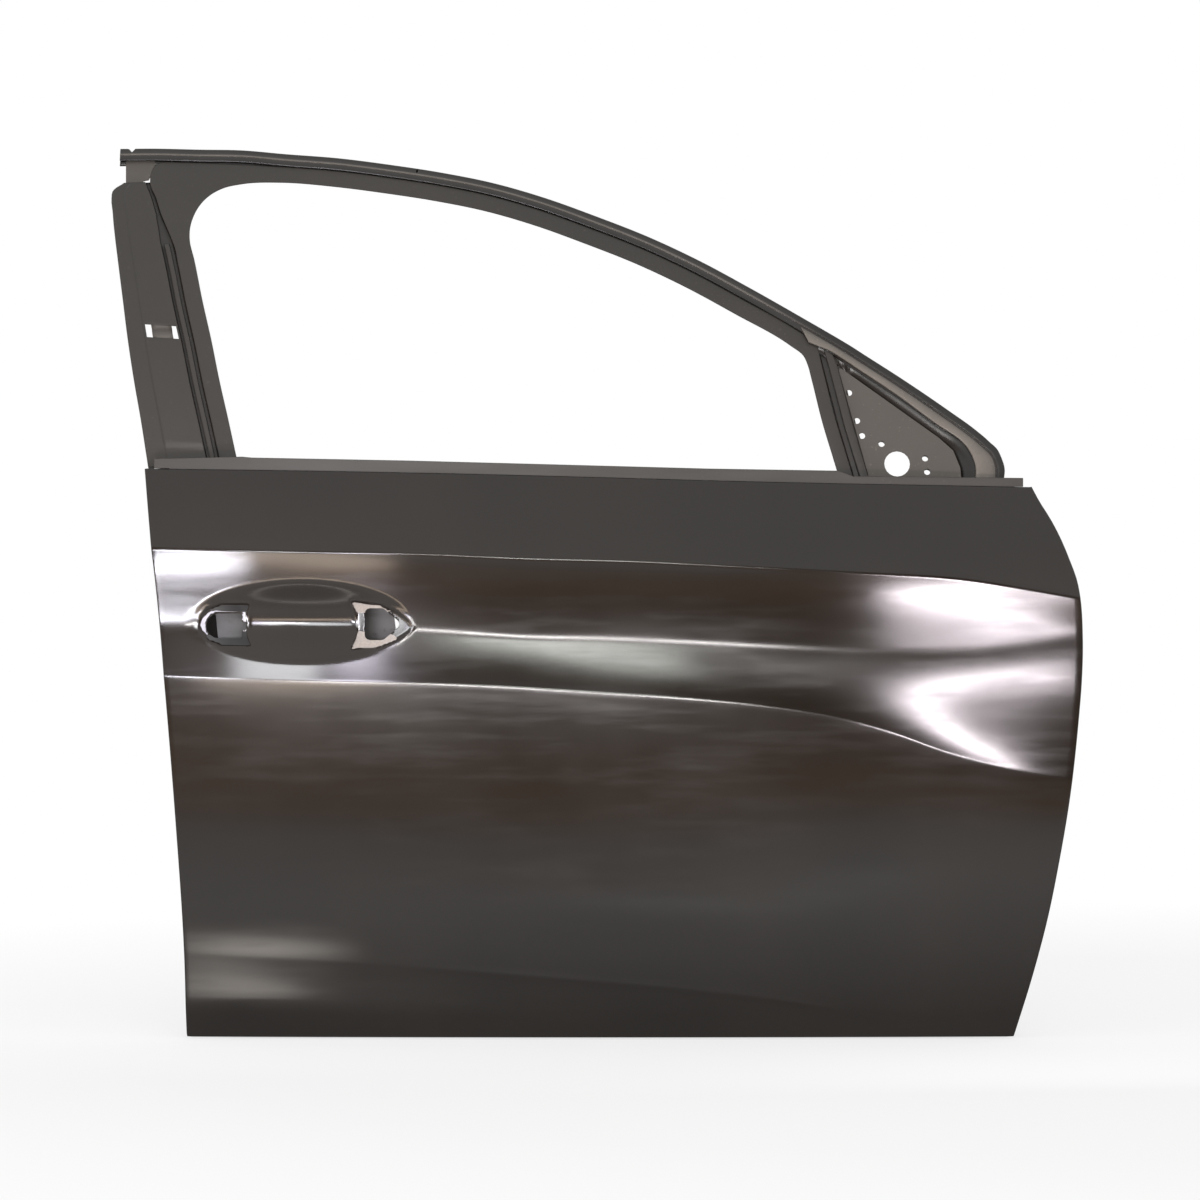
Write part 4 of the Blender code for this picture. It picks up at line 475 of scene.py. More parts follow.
def outline_distance(points, x, z):
    """Distance of places from a closed outline, negative inside: the nearest side's, with the sign
    from the count of sides that a line to one side crosses."""
    ends = np.roll(points, -1, 0)
    best = np.full(x.shape, np.inf)
    inside = np.zeros(x.shape, bool)
    for (ax, az), (bx, bz) in zip(points, ends):
        ex, ez = bx - ax, bz - az
        t = np.clip(((x - ax) * ex + (z - az) * ez) / (ex * ex + ez * ez), 0, 1)
        best = np.minimum(best, np.hypot(x - ax - ex * t, z - az - ez * t))
        if ez:
            crosses = ((az > z) != (bz > z)) & (x < ax + ex * (z - az) / ez)
            inside ^= crosses
    return np.where(inside, -best, best)


def rounded(corners, radius, count=5):
    """A closed outline whose corners are arcs of one radius."""
    points = []
    corners = np.array(corners, float)
    for i, here in enumerate(corners):
        back = corners[i - 1] - here
        ahead = corners[(i + 1) % len(corners)] - here
        back /= np.hypot(*back)
        ahead /= np.hypot(*ahead)
        half = math.acos(float(np.clip(back @ ahead, -1, 1))) / 2
        toward = (back + ahead) / np.hypot(*(back + ahead))
        centre = here + toward * (radius / math.sin(half))
        first = here + back * (radius / math.tan(half)) - centre
        last = here + ahead * (radius / math.tan(half)) - centre
        for k in range(count + 1):
            mid = first * (1 - k / count) + last * (k / count)
            points.append(centre + mid / np.hypot(*mid) * radius)
    return np.array(points)


def latch_outline():
    """Opening behind the handle's rear end: a round rear end, straight sides and a small tongue."""
    x, z = along(LATCH_OPENING[0]), body_height(LATCH_OPENING[1])
    half = LATCH_OPENING_SIZE[1] / 2
    start = x - LATCH_OPENING_SIZE[0] / 2 + half
    front = x + LATCH_OPENING_SIZE[0] / 2
    tongue = half * 0.35
    turns = np.pi * (np.arange(17) / 16 - 0.5)
    arc = np.stack([start - half * np.cos(turns), z + half * np.sin(turns)], 1)
    rest = np.array([
        (front - tongue, z + half), (front - tongue, z + tongue), (front, z + tongue),
        (front, z - tongue), (front - tongue, z - tongue), (front - tongue, z - half),
    ])
    return np.concatenate([arc, rest])


def grip_outline():
    """Opening behind the handle's front end: a straight rear side and a blunt front point."""
    x, z = along(GRIP_OPENING[0]), body_height(GRIP_OPENING[1])
    half = GRIP_OPENING_SIZE[1] / 2
    rear = x - GRIP_OPENING_SIZE[0] / 2
    front = x + GRIP_OPENING_SIZE[0] / 2
    corners = [(rear, z - half), (x, z - half), (front, z), (x, z + half), (rear, z + half)]
    return rounded(corners, half / 3)


def glass_lean(z):
    """Inboard lean of the side glass surface at a height: a slope plus a circle's sag."""
    rise = z - frame_height(0)
    return GLASS_LEAN * rise + rise * rise / (2 * GLASS_RADIUS)


def frame_face(z):
    """Depth of the window frame's outer face at a height."""
    return FRAME_FACE_Y + glass_lean(z)


def offset_path(points, distance):
    """An open (x, z) path moved to its left: each point along the halfway direction of its two sides,
    by the distance over the cosine of half the turn."""
    way = unit_ways(np.diff(points, axis=0))
    one = np.concatenate([way[:1], way])
    bend = unit_ways(one + np.concatenate([way, way[-1:]]))
    left = np.stack([-bend[:, 1], bend[:, 0]], 1)
    return points + left * (distance / np.maximum((bend * one).sum(1), 0.5))[:, None]


def fine(rows, step, curved=True):
    """Stations of points resampled evenly along their first edge: Hermite spans whose slopes are
    those of the neighbouring stations, or straight ones. A row is (x, inboard, z) points."""
    run = np.concatenate([[0], np.cumsum(np.linalg.norm(np.diff(rows[:, 0], axis=0), axis=1))])
    at = np.linspace(0, run[-1], max(int(run[-1] / step), 2) + 1)
    i = np.clip(np.searchsorted(run, at) - 1, 0, len(run) - 2)
    span = (run[i + 1] - run[i])[:, None, None]
    t = (at - run[i])[:, None, None] / span
    if not curved:
        return rows[i] * (1 - t) + rows[i + 1] * t
    slopes = np.gradient(rows, run, axis=0)
    return hermite(rows[i], slopes[i] * span, rows[i + 1], slopes[i + 1] * span, t)


def on_frame(rows):
    """Places of (x, inboard, z) points: the depth is the glass surface's plus inboard."""
    return np.stack([rows[..., 0], frame_face(rows[..., 2]) + rows[..., 1], rows[..., 2]], -1)


def folded(rows, radius, count=3):
    """Each inner point of every row turned into an arc: a quadratic curve from the radius before the
    point to the radius after it, or less where a side is short."""
    out = [rows[:, :1]]
    for k in range(1, rows.shape[1] - 1):
        here = rows[:, k]
        back = rows[:, k - 1] - here
        ahead = rows[:, k + 1] - here
        long_back = np.linalg.norm(back, axis=1)[:, None]
        long_ahead = np.linalg.norm(ahead, axis=1)[:, None]
        reach = np.minimum(radius, 0.45 * np.minimum(long_back, long_ahead))
        start = here + back / long_back * reach
        end = here + ahead / long_ahead * reach
        t = (np.arange(count + 1) / count)[None, :, None]
        out.append(start[:, None] * (1 - t) ** 2 + here[:, None] * 2 * t * (1 - t) + end[:, None] * t**2)
    return np.concatenate(out + [rows[:, -1:]], 1)


def unit_ways(ways):
    """Flat directions, each made one metre long."""
    return ways / np.hypot(ways[:, 0], ways[:, 1])[:, None]


def section(*lines):
    """(x, inboard, z) rows from one (x, z) line and its inboard depth, a number or one for each point,
    for each point of the section."""
    return np.stack([
        np.stack([line[:, 0], np.broadcast_to(inboard, len(line)), line[:, 1]], 1)
        for line, inboard in lines
    ], 1)


def across_rows(start, end, points):
    """Rows between two (x, z) lines: each section point is (share of the way, metres further on,
    inboard)."""
    way = end - start
    unit = unit_ways(way)
    return section(*((start + way * share + unit * further, inboard) for share, further, inboard in points))


def opening_path():
    """The window opening's edge: rear leg, rear side, head, front side and front leg."""
    rear, head, front = (frame_points(t) for t in (OPENING_REAR, OPENING_HEAD, OPENING_FRONT))
    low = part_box("window_frame")[0][2]
    share = (np.arange(LEG_STATIONS) + 1)[:, None] / LEG_STATIONS
    legs = []
    for end, above in ((rear[0], rear[1]), (front[-1], front[-2])):
        down = (end - above) / abs(end[1] - above[1])
        legs.append(end + down * (end[1] - low) * share)
    return np.concatenate([legs[0][::-1], rear, head, front, legs[1]])


def frame_sides():
    """The opening's edge and the band's outer side: the edge moved outwards by the band, or the
    tables' places where the band widens."""
    path = opening_path()
    outer = offset_path(path, FRAME_BAND)
    corner = frame_points(FRAME_CORNER)
    first = LEG_STATIONS + len(OPENING_REAR) + 1 - len(corner)
    outer[first:first + len(corner)] = corner
    foremost = frame_points(FRAME_FOREMOST)
    last = len(path) - LEG_STATIONS
    outer[last - len(foremost):last] = foremost
    outer[last:] = outer[last - 1] + path[last:] - path[last - 1]
    return path, outer


def rail_path():
    """The header rail's outer edge: the rear corner, the head moved outwards, the front foot."""
    reach = FRAME_BAND + FRAME_THICKNESS / 2 + RAIL_GAP + RAIL_WIDTH
    head = offset_path(frame_points(OPENING_HEAD), reach)[1:]
    return np.concatenate([frame_points(HEADER_REAR), head, frame_points(HEADER_FRONT)])


def front_x(z):
    """The outside of the frame's outer wall ahead of the window at a height."""
    line = frame_sides()[1][-LEG_STATIONS - len(FRAME_FOREMOST):][::-1]
    return np.interp(z, line[:, 1], line[:, 0]) + FRAME_THICKNESS / 2


def mirror_depth(z):
    """Depth of the flat mirror plate, which touches the glass surface at its middle height."""
    middle = frame_height(MIRROR_TOP_SHARE / 2)
    slope = GLASS_LEAN + (middle - frame_height(0)) / GLASS_RADIUS
    return frame_face(middle) + MIRROR_SEAT + slope * (z - middle)


def under_mirror(z):
    """A flange's depth against the mirror plate's inboard side, as inboard of the glass surface."""
    return mirror_depth(z) + MIRROR_THICKNESS / 2 + CLEARANCE + FRAME_THICKNESS / 2 - frame_face(z)


# ---- Meshes

def mesh_from(name, points, faces, surface):
    """An object at the origin from arrays of points and equal-sided faces, shaded smooth."""
    mesh = bpy.data.meshes.new(name)
    faces = np.asarray(faces)
    mesh.from_pydata(np.asarray(points).reshape(-1, 3).tolist(), [], faces.tolist())
    mesh.shade_smooth()
    made = bpy.data.objects.new(name, mesh)
    bpy.context.scene.collection.objects.link(made)
    mesh.materials.append(surface)
    return made


def grid_faces(rows, columns, offset=0):
    """Quads of a rows by columns grid of points, row after row."""
    low = np.arange((rows - 1) * columns).reshape(rows - 1, columns)[:, :-1] + offset
    return np.stack([low, low + 1, low + columns + 1, low + columns], -1).reshape(-1, 4)


def wall(made, thickness, offset):
    """Gives an open surface its sheet thickness."""
    solid = made.modifiers.new("sheet", "SOLIDIFY")
    solid.thickness = thickness
    solid.offset = offset
    solid.use_even_offset = offset == 0


def facing(made, outward):
    """Turns all faces over if the mesh as a whole faces away from a direction."""
    total = sum((p.normal * p.area for p in made.data.polygons), start=made.data.polygons[0].normal * 0)
    if total.dot(outward) < 0:
        made.data.flip_normals()


def keep_edges(made, degrees):
    """Shades every edge that turns by more than an angle as a sharp one."""
    made.data.set_sharp_from_angle(angle=math.radians(degrees))


def finish_piece(made, node):
    """Says which body a piece rides and hides the node that it replaces."""
    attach(made, "root")
    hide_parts(node)
    return made


def pressed(name, rows, node, surface, radius, thickness=FRAME_THICKNESS, skip=None, shade=None):
    """A sheet piece from (x, inboard, z) rows, with its folds rounded and its thickness given. The face
    next to each (x, z) place of skip is left out. Each section point's painted light and shade, from
    painted shade at 0 to painted highlight at 1, is kept as an attribute."""
    points = folded(on_frame(rows), radius)
    faces = grid_faces(*points.shape[:2])
    if skip is not None:
        middle = points.reshape(-1, 3)[faces].mean(1)
        away = np.hypot(middle[:, None, 0] - skip[None, :, 0], middle[:, None, 2] - skip[None, :, 1])
        away += (np.abs(middle[:, 1] - frame_face(middle[:, 2])) > 0.001)[:, None]
        faces = np.delete(faces, np.unique(away.argmin(0)), 0)
    made = mesh_from(name, points, faces, surface)
    if shade is not None:
        shade = np.broadcast_to(shade, rows.shape[:2])
        inner = np.repeat(shade[:, 1:-1], (points.shape[1] - 2) // (rows.shape[1] - 2), 1)
        kept = made.data.attributes.new("shade", "FLOAT", "POINT")
        kept.data.foreach_set("value", np.concatenate([shade[:, :1], inner, shade[:, -1:]], 1).ravel())
    wall(made, thickness, 0)
    keep_edges(made, 40)
    return finish_piece(made, node)


def dressed(node, width, surface):
    """A node's own form with its faces merged and its folds rounded."""
    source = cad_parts[node]
    bm = bmesh.new()
    bm.from_mesh(source.data)
    bmesh.ops.remove_doubles(bm, verts=bm.verts, dist=1e-5)
    bmesh.ops.dissolve_limit(bm, angle_limit=math.radians(0.6), verts=bm.verts, edges=bm.edges)
    mesh = bpy.data.meshes.new(node + "_dressed")
    bm.to_mesh(mesh)
    bm.free()
    mesh.shade_smooth()
    made = bpy.data.objects.new(node + "_dressed", mesh)
    bpy.context.scene.collection.objects.link(made)
    mesh.materials.append(surface)
    if width:
        bevel = made.modifiers.new("folds", "BEVEL")
        bevel.width = width
        bevel.segments = 2
        bevel.limit_method = "ANGLE"
        bevel.angle_limit = math.radians(25)
        bevel.use_clamp_overlap = True
    keep_edges(made, 25)
    return finish_piece(made, node)


# ---- Shader maths

class Value:
    """A node socket that takes part in sums: + - * and powers add Math nodes."""

    def __init__(self, tree, socket):
        self.tree = tree
        self.socket = socket

    def math(self, operation, *others):
        node = self.tree.nodes.new("ShaderNodeMath")
        node.operation = operation
        for slot, value in zip(node.inputs, (self, *others)):
            if isinstance(value, Value):
                self.tree.links.new(value.socket, slot)
            else:
                slot.default_value = value
        return Value(self.tree, node.outputs[0])

    def __add__(self, other):
        return self.math("ADD", other)

    __radd__ = __add__

    def __mul__(self, other):
        return self.math("MULTIPLY", other)

    __rmul__ = __mul__

    def __sub__(self, other):
        return self.math("SUBTRACT", other)

    def __rsub__(self, other):
        return (self * -1.0) + other

    def __pow__(self, other):
        return self.math("POWER", other)

    def clip(self):
        return self.math("MINIMUM", 1.0).math("MAXIMUM", 0.0)


class Finish:
    """One material, or the world: its tree and one method that makes any node."""

    def __init__(self, owner):
        owner.use_nodes = True
        self.owner = owner
        self.tree = owner.node_tree
        self.tree.nodes.clear()

    def node(self, kind, settings=None, inputs=None, output=0):
        made = self.tree.nodes.new(kind)
        for key, value in (settings or {}).items():
            if key == "stops":
                self.set_stops(made.color_ramp, value)
            else:
                setattr(made, key, value)
        for key, value in (inputs or {}).items():
            slot = made.inputs[key]
            if isinstance(value, Value):
                self.tree.links.new(value.socket, slot)
            else:
                slot.default_value = value
        return Value(self.tree, made.outputs[output])

    @staticmethod
    def set_stops(ramp, stops):
        while len(ramp.elements) < len(stops):
            ramp.elements.new(0.5)
        for element, (place, level) in zip(ramp.elements, stops):
            element.position = place
            element.color = (level, level, level, 1.0) if isinstance(level, float) else (*level, 1.0)

    def place(self):
        return self.node("ShaderNodeTexCoord", output=3)

    def noise(self, scale, detail=2.0, roughness=0.5, stretch=None):
        where = self.place()
        if stretch:
            where = self.node(
                "ShaderNodeMapping", {"vector_type": "TEXTURE"}, {"Vector": where, "Scale": stretch},
            )
        return self.node(
            "ShaderNodeTexNoise", None,
            {"Vector": where, "Scale": scale, "Detail": detail, "Roughness": roughness},
        )

    def ramp(self, value, stops):
        return self.node("ShaderNodeValToRGB", {"stops": stops}, {"Fac": value})

    def mix(self, share, one, two):
        return self.node(
            "ShaderNodeMix", {"data_type": "RGBA"}, {0: share, 6: one, 7: two}, output=2
        )

    def close(self, shader, kind="ShaderNodeOutputMaterial"):
        made = self.tree.nodes.new(kind)
        self.tree.links.new(shader.socket, made.inputs["Surface"])
        return self.owner


def tone(color, factor):
    """A colour made lighter or darker by a factor, with full cover."""
    return (*[min(c * factor, 1.0) for c in color], 1.0)


def painted_light_rail_primer(name, color):
    """Glossier primer of the rail and the brace, with painted light and shade: from dark to light with the
    sections' painted light and shade.
    """
    f = Finish(bpy.data.materials.new(name))
    shade = f.node("ShaderNodeAttribute", {"attribute_name": "shade"}, output=2)
    cloud = f.noise(30.0, 3.0)
    level = (shade + (cloud - 0.5) * 0.12).clip()
    # Painted shade at 0 up to painted highlight at 1, as factors of the primer's colour
    tones = ((0.0, 0.28), (0.35, 0.9), (0.8, 3.6), (1.0, 7.0))
    stops = [(place, tone(color, factor)[:3]) for place, factor in tones]
    bump = f.node(
        "ShaderNodeBump", None, {"Strength": 1.0, "Distance": 0.00002, "Height": f.noise(320.0, 2.0)},
    )
    rough = cloud * 0.12 + 0.22
    shader = f.node(
        "ShaderNodeBsdfPrincipled", None,
        {"Base Color": f.ramp(level, stops), "Roughness": rough.clip(), "Normal": bump},
    )
    return f.close(shader)


def handle_painted_shade_primer(name, color):
    """Finish of the bracket behind the handle openings: painted shade, near black, at the latch opening,
    and the pale zinc of its own at the grip.
    """
    f = Finish(bpy.data.materials.new(name))
    along_door = f.node("ShaderNodeSeparateXYZ", None, {0: f.place()})
    share = ((along_door + 0.88) * 20.0).clip()
    spangle = f.node("ShaderNodeTexVoronoi", None, {"Vector": f.place(), "Scale": 420.0}, output=0)
    zinc = f.mix(spangle.clip(), tone(color, 9.5), tone(color, 13.0))
    # Near black towards the latch is painted shade in the opening; the pale zinc spangle towards the grip
    # is the bracket's own
    base = f.mix(share, tone(color, 0.12), zinc)
    shader = f.node(
        "ShaderNodeBsdfPrincipled", None, {"Base Color": base, "Roughness": (spangle * 0.1 + 0.38).clip()},
    )
    return f.close(shader)


def primer(name, color, gloss, peel, dust):
    """Dip primer: a thin black film with an orange-peel surface, faint runs, dust and rubbed places."""
    f = Finish(bpy.data.materials.new(name))
    cloud = f.ramp(f.noise(5.0, 3.0), [(0.35, 0.0), (0.68, 1.0)])
    grain = f.noise(420.0, 2.0)
    runs = f.ramp(f.noise(9.0, 4.0, stretch=(1.0, 1.0, 0.12)), [(0.45, 0.0), (0.75, 1.0)])
    specks = f.ramp(f.noise(260.0, 1.0), [(0.70, 0.0), (0.76, 1.0)])
    color_a = f.mix(cloud, tone(color, 0.86), tone(color, 1.16))
    color_b = f.mix((grain * 0.5).clip(), color_a, tone(color, 1.05))
    color_c = f.mix((specks * dust).clip(), color_b, tone(color, 4.0))
    rough = (cloud * 0.05) + (runs * 0.05) + (specks * (dust * 0.5)) + (gloss - 0.03)
    height = f.noise(310.0, 2.0, 0.55)
    long_wave = f.noise(42.0, 1.0)
    bump = f.node(
        "ShaderNodeBump", None,
        {"Strength": 1.0, "Distance": peel, "Height": height + long_wave * 0.25},
    )
    shader = f.node(
        "ShaderNodeBsdfPrincipled", None,
        {"Base Color": color_c, "Roughness": rough.clip(), "Metallic": 0.0, "IOR": 1.5, "Normal": bump},
    )
    return f.close(shader)


def mastic(name, color):
    """Grey rubbery mastic, matt and lumpy."""
    f = Finish(bpy.data.materials.new(name))
    lumps = f.noise(180.0, 3.0)
    base = f.mix(lumps, tone(color, 0.75), tone(color, 1.25))
    bump = f.node("ShaderNodeBump", None, {"Strength": 0.6, "Distance": 0.0006, "Height": lumps})
    shader = f.node(
        "ShaderNodeBsdfPrincipled", None, {"Base Color": base, "Roughness": 0.85, "Normal": bump}
    )
    return f.close(shader)


def finish(name):
    """The named finish, made once from the settings."""
    if name in bpy.data.materials:
        return bpy.data.materials[name]
    s = bpy.context.scene.door_shell
    if name == "skin_finish":
        return primer(name, s.skin_color, 0.15, 0.000008, 0.0)
    if name == "frame_finish":
        return primer(name, s.frame_color, 0.42, 0.00003, 0.15)
    if name == "rail_painted_light_finish":
        return painted_light_rail_primer(name, s.frame_color)
    if name == "handle_painted_shade_finish":
        return handle_painted_shade_primer(name, s.inner_color)
    if name == "plate_finish":
        return primer(name, tone(s.frame_color, 2.6)[:3], 0.48, 0.00004, 0.15)
    if name == "inner_finish":
        return primer(name, s.inner_color, 0.38, 0.00003, 0.35)
    return mastic(name, s.mastic_color)


# ---- Operators: one for each piece or group of like pieces

NEW_SURFACES = (
    "outer_panel", "window_frame", "header_rail", "pillar_plate", "pillar_rib", "mirror_rib", "front_brace",
)
FRAME_PLATES = ("mirror_plate", "corner_bracket", "belt_reinforcement_outer")


def skin_grid():
    """Places of the skin's outer face: each column crosses the rows at a fixed share between the two
    side edges, each row at a fixed share between two levels, found by going to and fro."""
    rear, front = along(0.0), along(1.0)
    ends = (rear, *HANDLE_SPAN, front)
    spans = [np.linspace(a, b, count) for a, b, count in zip(ends, ends[1:], COLUMNS)]
    column = (np.concatenate([spans[0][:-1], spans[1][:-1], spans[2]]) - rear) / (front - rear)
    rows = [(0, 0.0)]
    for level, count in enumerate(ROWS_BY_LEVEL):
        even = (np.arange(count) + 1) / count
        crowded = even**2 * (3 - 2 * even)
        rows += [(level, t) for t in ROW_EVENNESS * even + (1 - ROW_EVENNESS) * crowded]
    level = np.array([r[0] for r in rows])[:, None] + np.zeros((1, len(column)), int)
    part = np.array([r[1] for r in rows])[:, None]
    share = np.full(level.shape, 0.5)
    for _ in range(8):
        heights = np.array([body_height(smooth(entry[0], share)) for entry in LEVELS])
        low, high = picked(heights, level), picked(heights, level + 1)
        z = low + (high - low) * part
        z = z + FOLD_RADIUS * np.clip(1 - (z + SILL_DROP) / SILL_FADE, 0, 1)
        height = (z + SILL_DROP) / BODY_HEIGHT
        start = along(smooth(REAR_EDGE, height)) + FOLD_RADIUS
        end = along(smooth(FRONT_EDGE, height)) - FOLD_RADIUS
        x = start + (end - start) * column[None]
        share = length_share(x)
    return x, z


class DOORSHELL_OT_skin(bpy.types.Operator):
    """The pressed skin with its creases, handle recess, two openings and hemmed edge"""

    bl_idname = "door_shell.skin"
    bl_label = "Skin"

    def execute(self, context):
        softness = context.scene.door_shell.crease_softness
        x, z = skin_grid()
        rows, columns = x.shape
        hole = np.zeros(x.shape, bool)
        for outline in (latch_outline(), grip_outline()):
            near = outline_distance(outline, x, z)
            snap = np.abs(near) < OPENING_SNAP
            step = 1e-5
            slope_x = (outline_distance(outline, x + step, z) - near) / step
            slope_z = (outline_distance(outline, x, z + step) - near) / step
            norm = np.maximum(np.hypot(slope_x, slope_z), 0.5)
            x = np.where(snap, x - near * slope_x / norm, x)
            z = np.where(snap, z - near * slope_z / norm, z)
            hole |= near <= -OPENING_SNAP
        y = soft_side(x, z, softness)
        for pocket, (_, height) in ((LATCH_POCKET, LATCH_OPENING), (GRIP_POCKET, GRIP_OPENING)):
            near = outline_distance(np.array(pocket), x, z)
            step = np.clip(0.5 - near / POCKET_WALL, 0, 1)
            floor = soft_side(x, np.full(z.shape, body_height(height)), softness) + POCKET_DEPTH
            y += (floor - y) * step * step * (3 - 2 * step)
            y -= POCKET_RIM * np.exp(-((near - POCKET_WALL) / POCKET_WALL) ** 2)
        points = np.stack([x, y, z], -1)
        faces = grid_faces(rows, columns)
        faces = faces[~hole.reshape(-1)[faces].any(1)]
        edge = np.array(
            [(j, 0) for j in range(rows - 1, -1, -1)] + [(0, i) for i in range(1, columns)]
            + [(j, columns - 1) for j in range(1, rows)]
        )
        ring = points[edge[:, 0], edge[:, 1]]
        strips = self.hem(ring)
        bands = [edge[:, 0] * columns + edge[:, 1]]
        bands += [rows * columns + k * len(ring) + np.arange(len(ring)) for k in range(len(strips))]
        hem = [np.stack([b[:-1], b[1:], a[1:], a[:-1]], 1) for a, b in zip(bands, bands[1:])]
        everything = np.concatenate([points.reshape(-1, 3)] + strips)
        faces = np.concatenate([faces] + hem)
        made = mesh_from("outer_skin", everything, faces, finish("skin_finish"))
        bm = bmesh.new()
        bm.from_mesh(made.data)
        loose = [v for v in bm.verts if not v.link_faces]
        bmesh.ops.delete(bm, geom=loose, context="VERTS")
        bmesh.ops.recalc_face_normals(bm, faces=bm.faces)
        bm.to_mesh(made.data)
        bm.free()
        facing(made, Vector((0, -1, 0)))
        wall(made, SKIN_THICKNESS, -1)
        keep_edges(made, 50)
        finish_piece(made, "outer_panel")
        return {"FINISHED"}

    def hem(self, ring):
        """The folded edge: rings of points round a half turn and then back under the skin."""
        line = ring[:, [0, 2]]
        outward = unit_ways(line - offset_path(line, 1.0))
        if ((line - line.mean(0)) * outward).sum() < 0:
            outward = -outward
        fold = [
            (FOLD_RADIUS * math.sin(turn), FOLD_RADIUS * (1 - math.cos(turn)))
            for turn in np.linspace(0, np.pi, 9)[1:]
        ]
        fold += [(-back, 2 * FOLD_RADIUS) for back in np.linspace(0, FOLD_RETURN, 4)[1:]]
        return [ring + np.insert(outward * out, 1, inboard, 1) for out, inboard in fold]


class DOORSHELL_OT_frame(bpy.types.Operator):
    """The channel round the window opening"""

    bl_idname = "door_shell.window_frame"
    bl_label = "Window frame"

    def execute(self, context):
        edge, outer = frame_sides()
        rows = across_rows(edge, outer, [
            (0, FRAME_LIP / 2, FRAME_LIP + FRAME_BAND_STEP), (0, 0, FRAME_BAND_STEP),
            (1, 0, FRAME_BAND_STEP), (1, 0, FRAME_BAND_STEP + FRAME_DEPTH),
            (0, FRAME_LIP, FRAME_BAND_STEP + FRAME_DEPTH),
        ])
        softness = context.scene.door_shell.fold_softness
        rows = fine(rows, STATION_STEP)
        pressed("window_channel", rows, "window_frame", finish("frame_finish"), softness)
        return {"FINISHED"}


class DOORSHELL_OT_rail(bpy.types.Operator):
    """The rolled rail over the header, with its bead, rear notch and two pin holes"""

    bl_idname = "door_shell.header_rail"
    bl_label = "Header rail"

    def execute(self, context):
        path = rail_path()
        web = RAIL_WIDTH - FRAME_THICKNESS / 2
        rows = fine(section(*((offset_path(path, across), inboard) for across, inboard in (
            (-web - RAIL_LAP, RAIL_LAP_DEPTH), (-web, RAIL_LAP_DEPTH), (-web, 0.0),
            (-web / 2 - RAIL_BEAD, 0.0), (-web / 2, -RAIL_BEAD), (-web / 2 + RAIL_BEAD, 0.0),
            (0.0, 0.0), (0.0, RAIL_DEPTH), (-web, RAIL_DEPTH),
        ))), RAIL_STEP)
        outer = rows[:, 6:8]
        x = frame_points([NOTCH_SHARES])[0][0]
        share = np.clip(1 - np.abs(outer[..., 0] - x) / (NOTCH_WIDTH / 2), 0, 1)
        outer[..., 2] -= np.where(outer[..., 2] > frame_height(0.9), share * NOTCH_DEPTH, 0)
        # Painted light and shade of the rail: light on the bead's ridge, painted shade on its walls and
        # outer edge
        start, span = RAIL_FADE
        ahead = np.clip((rows[:, 6, 0] - along(start)) / span, 0, 1)[:, None]
        rear, front = np.array(RAIL_PAINTED_LIGHT)
        softness = context.scene.door_shell.fold_softness
        pressed(
            "rolled_rail", rows, "header_rail", finish("rail_painted_light_finish"), softness,
            skip=frame_points(RAIL_PINS), shade=rear * (1 - ahead) + front * ahead,
        )
        return {"FINISHED"}


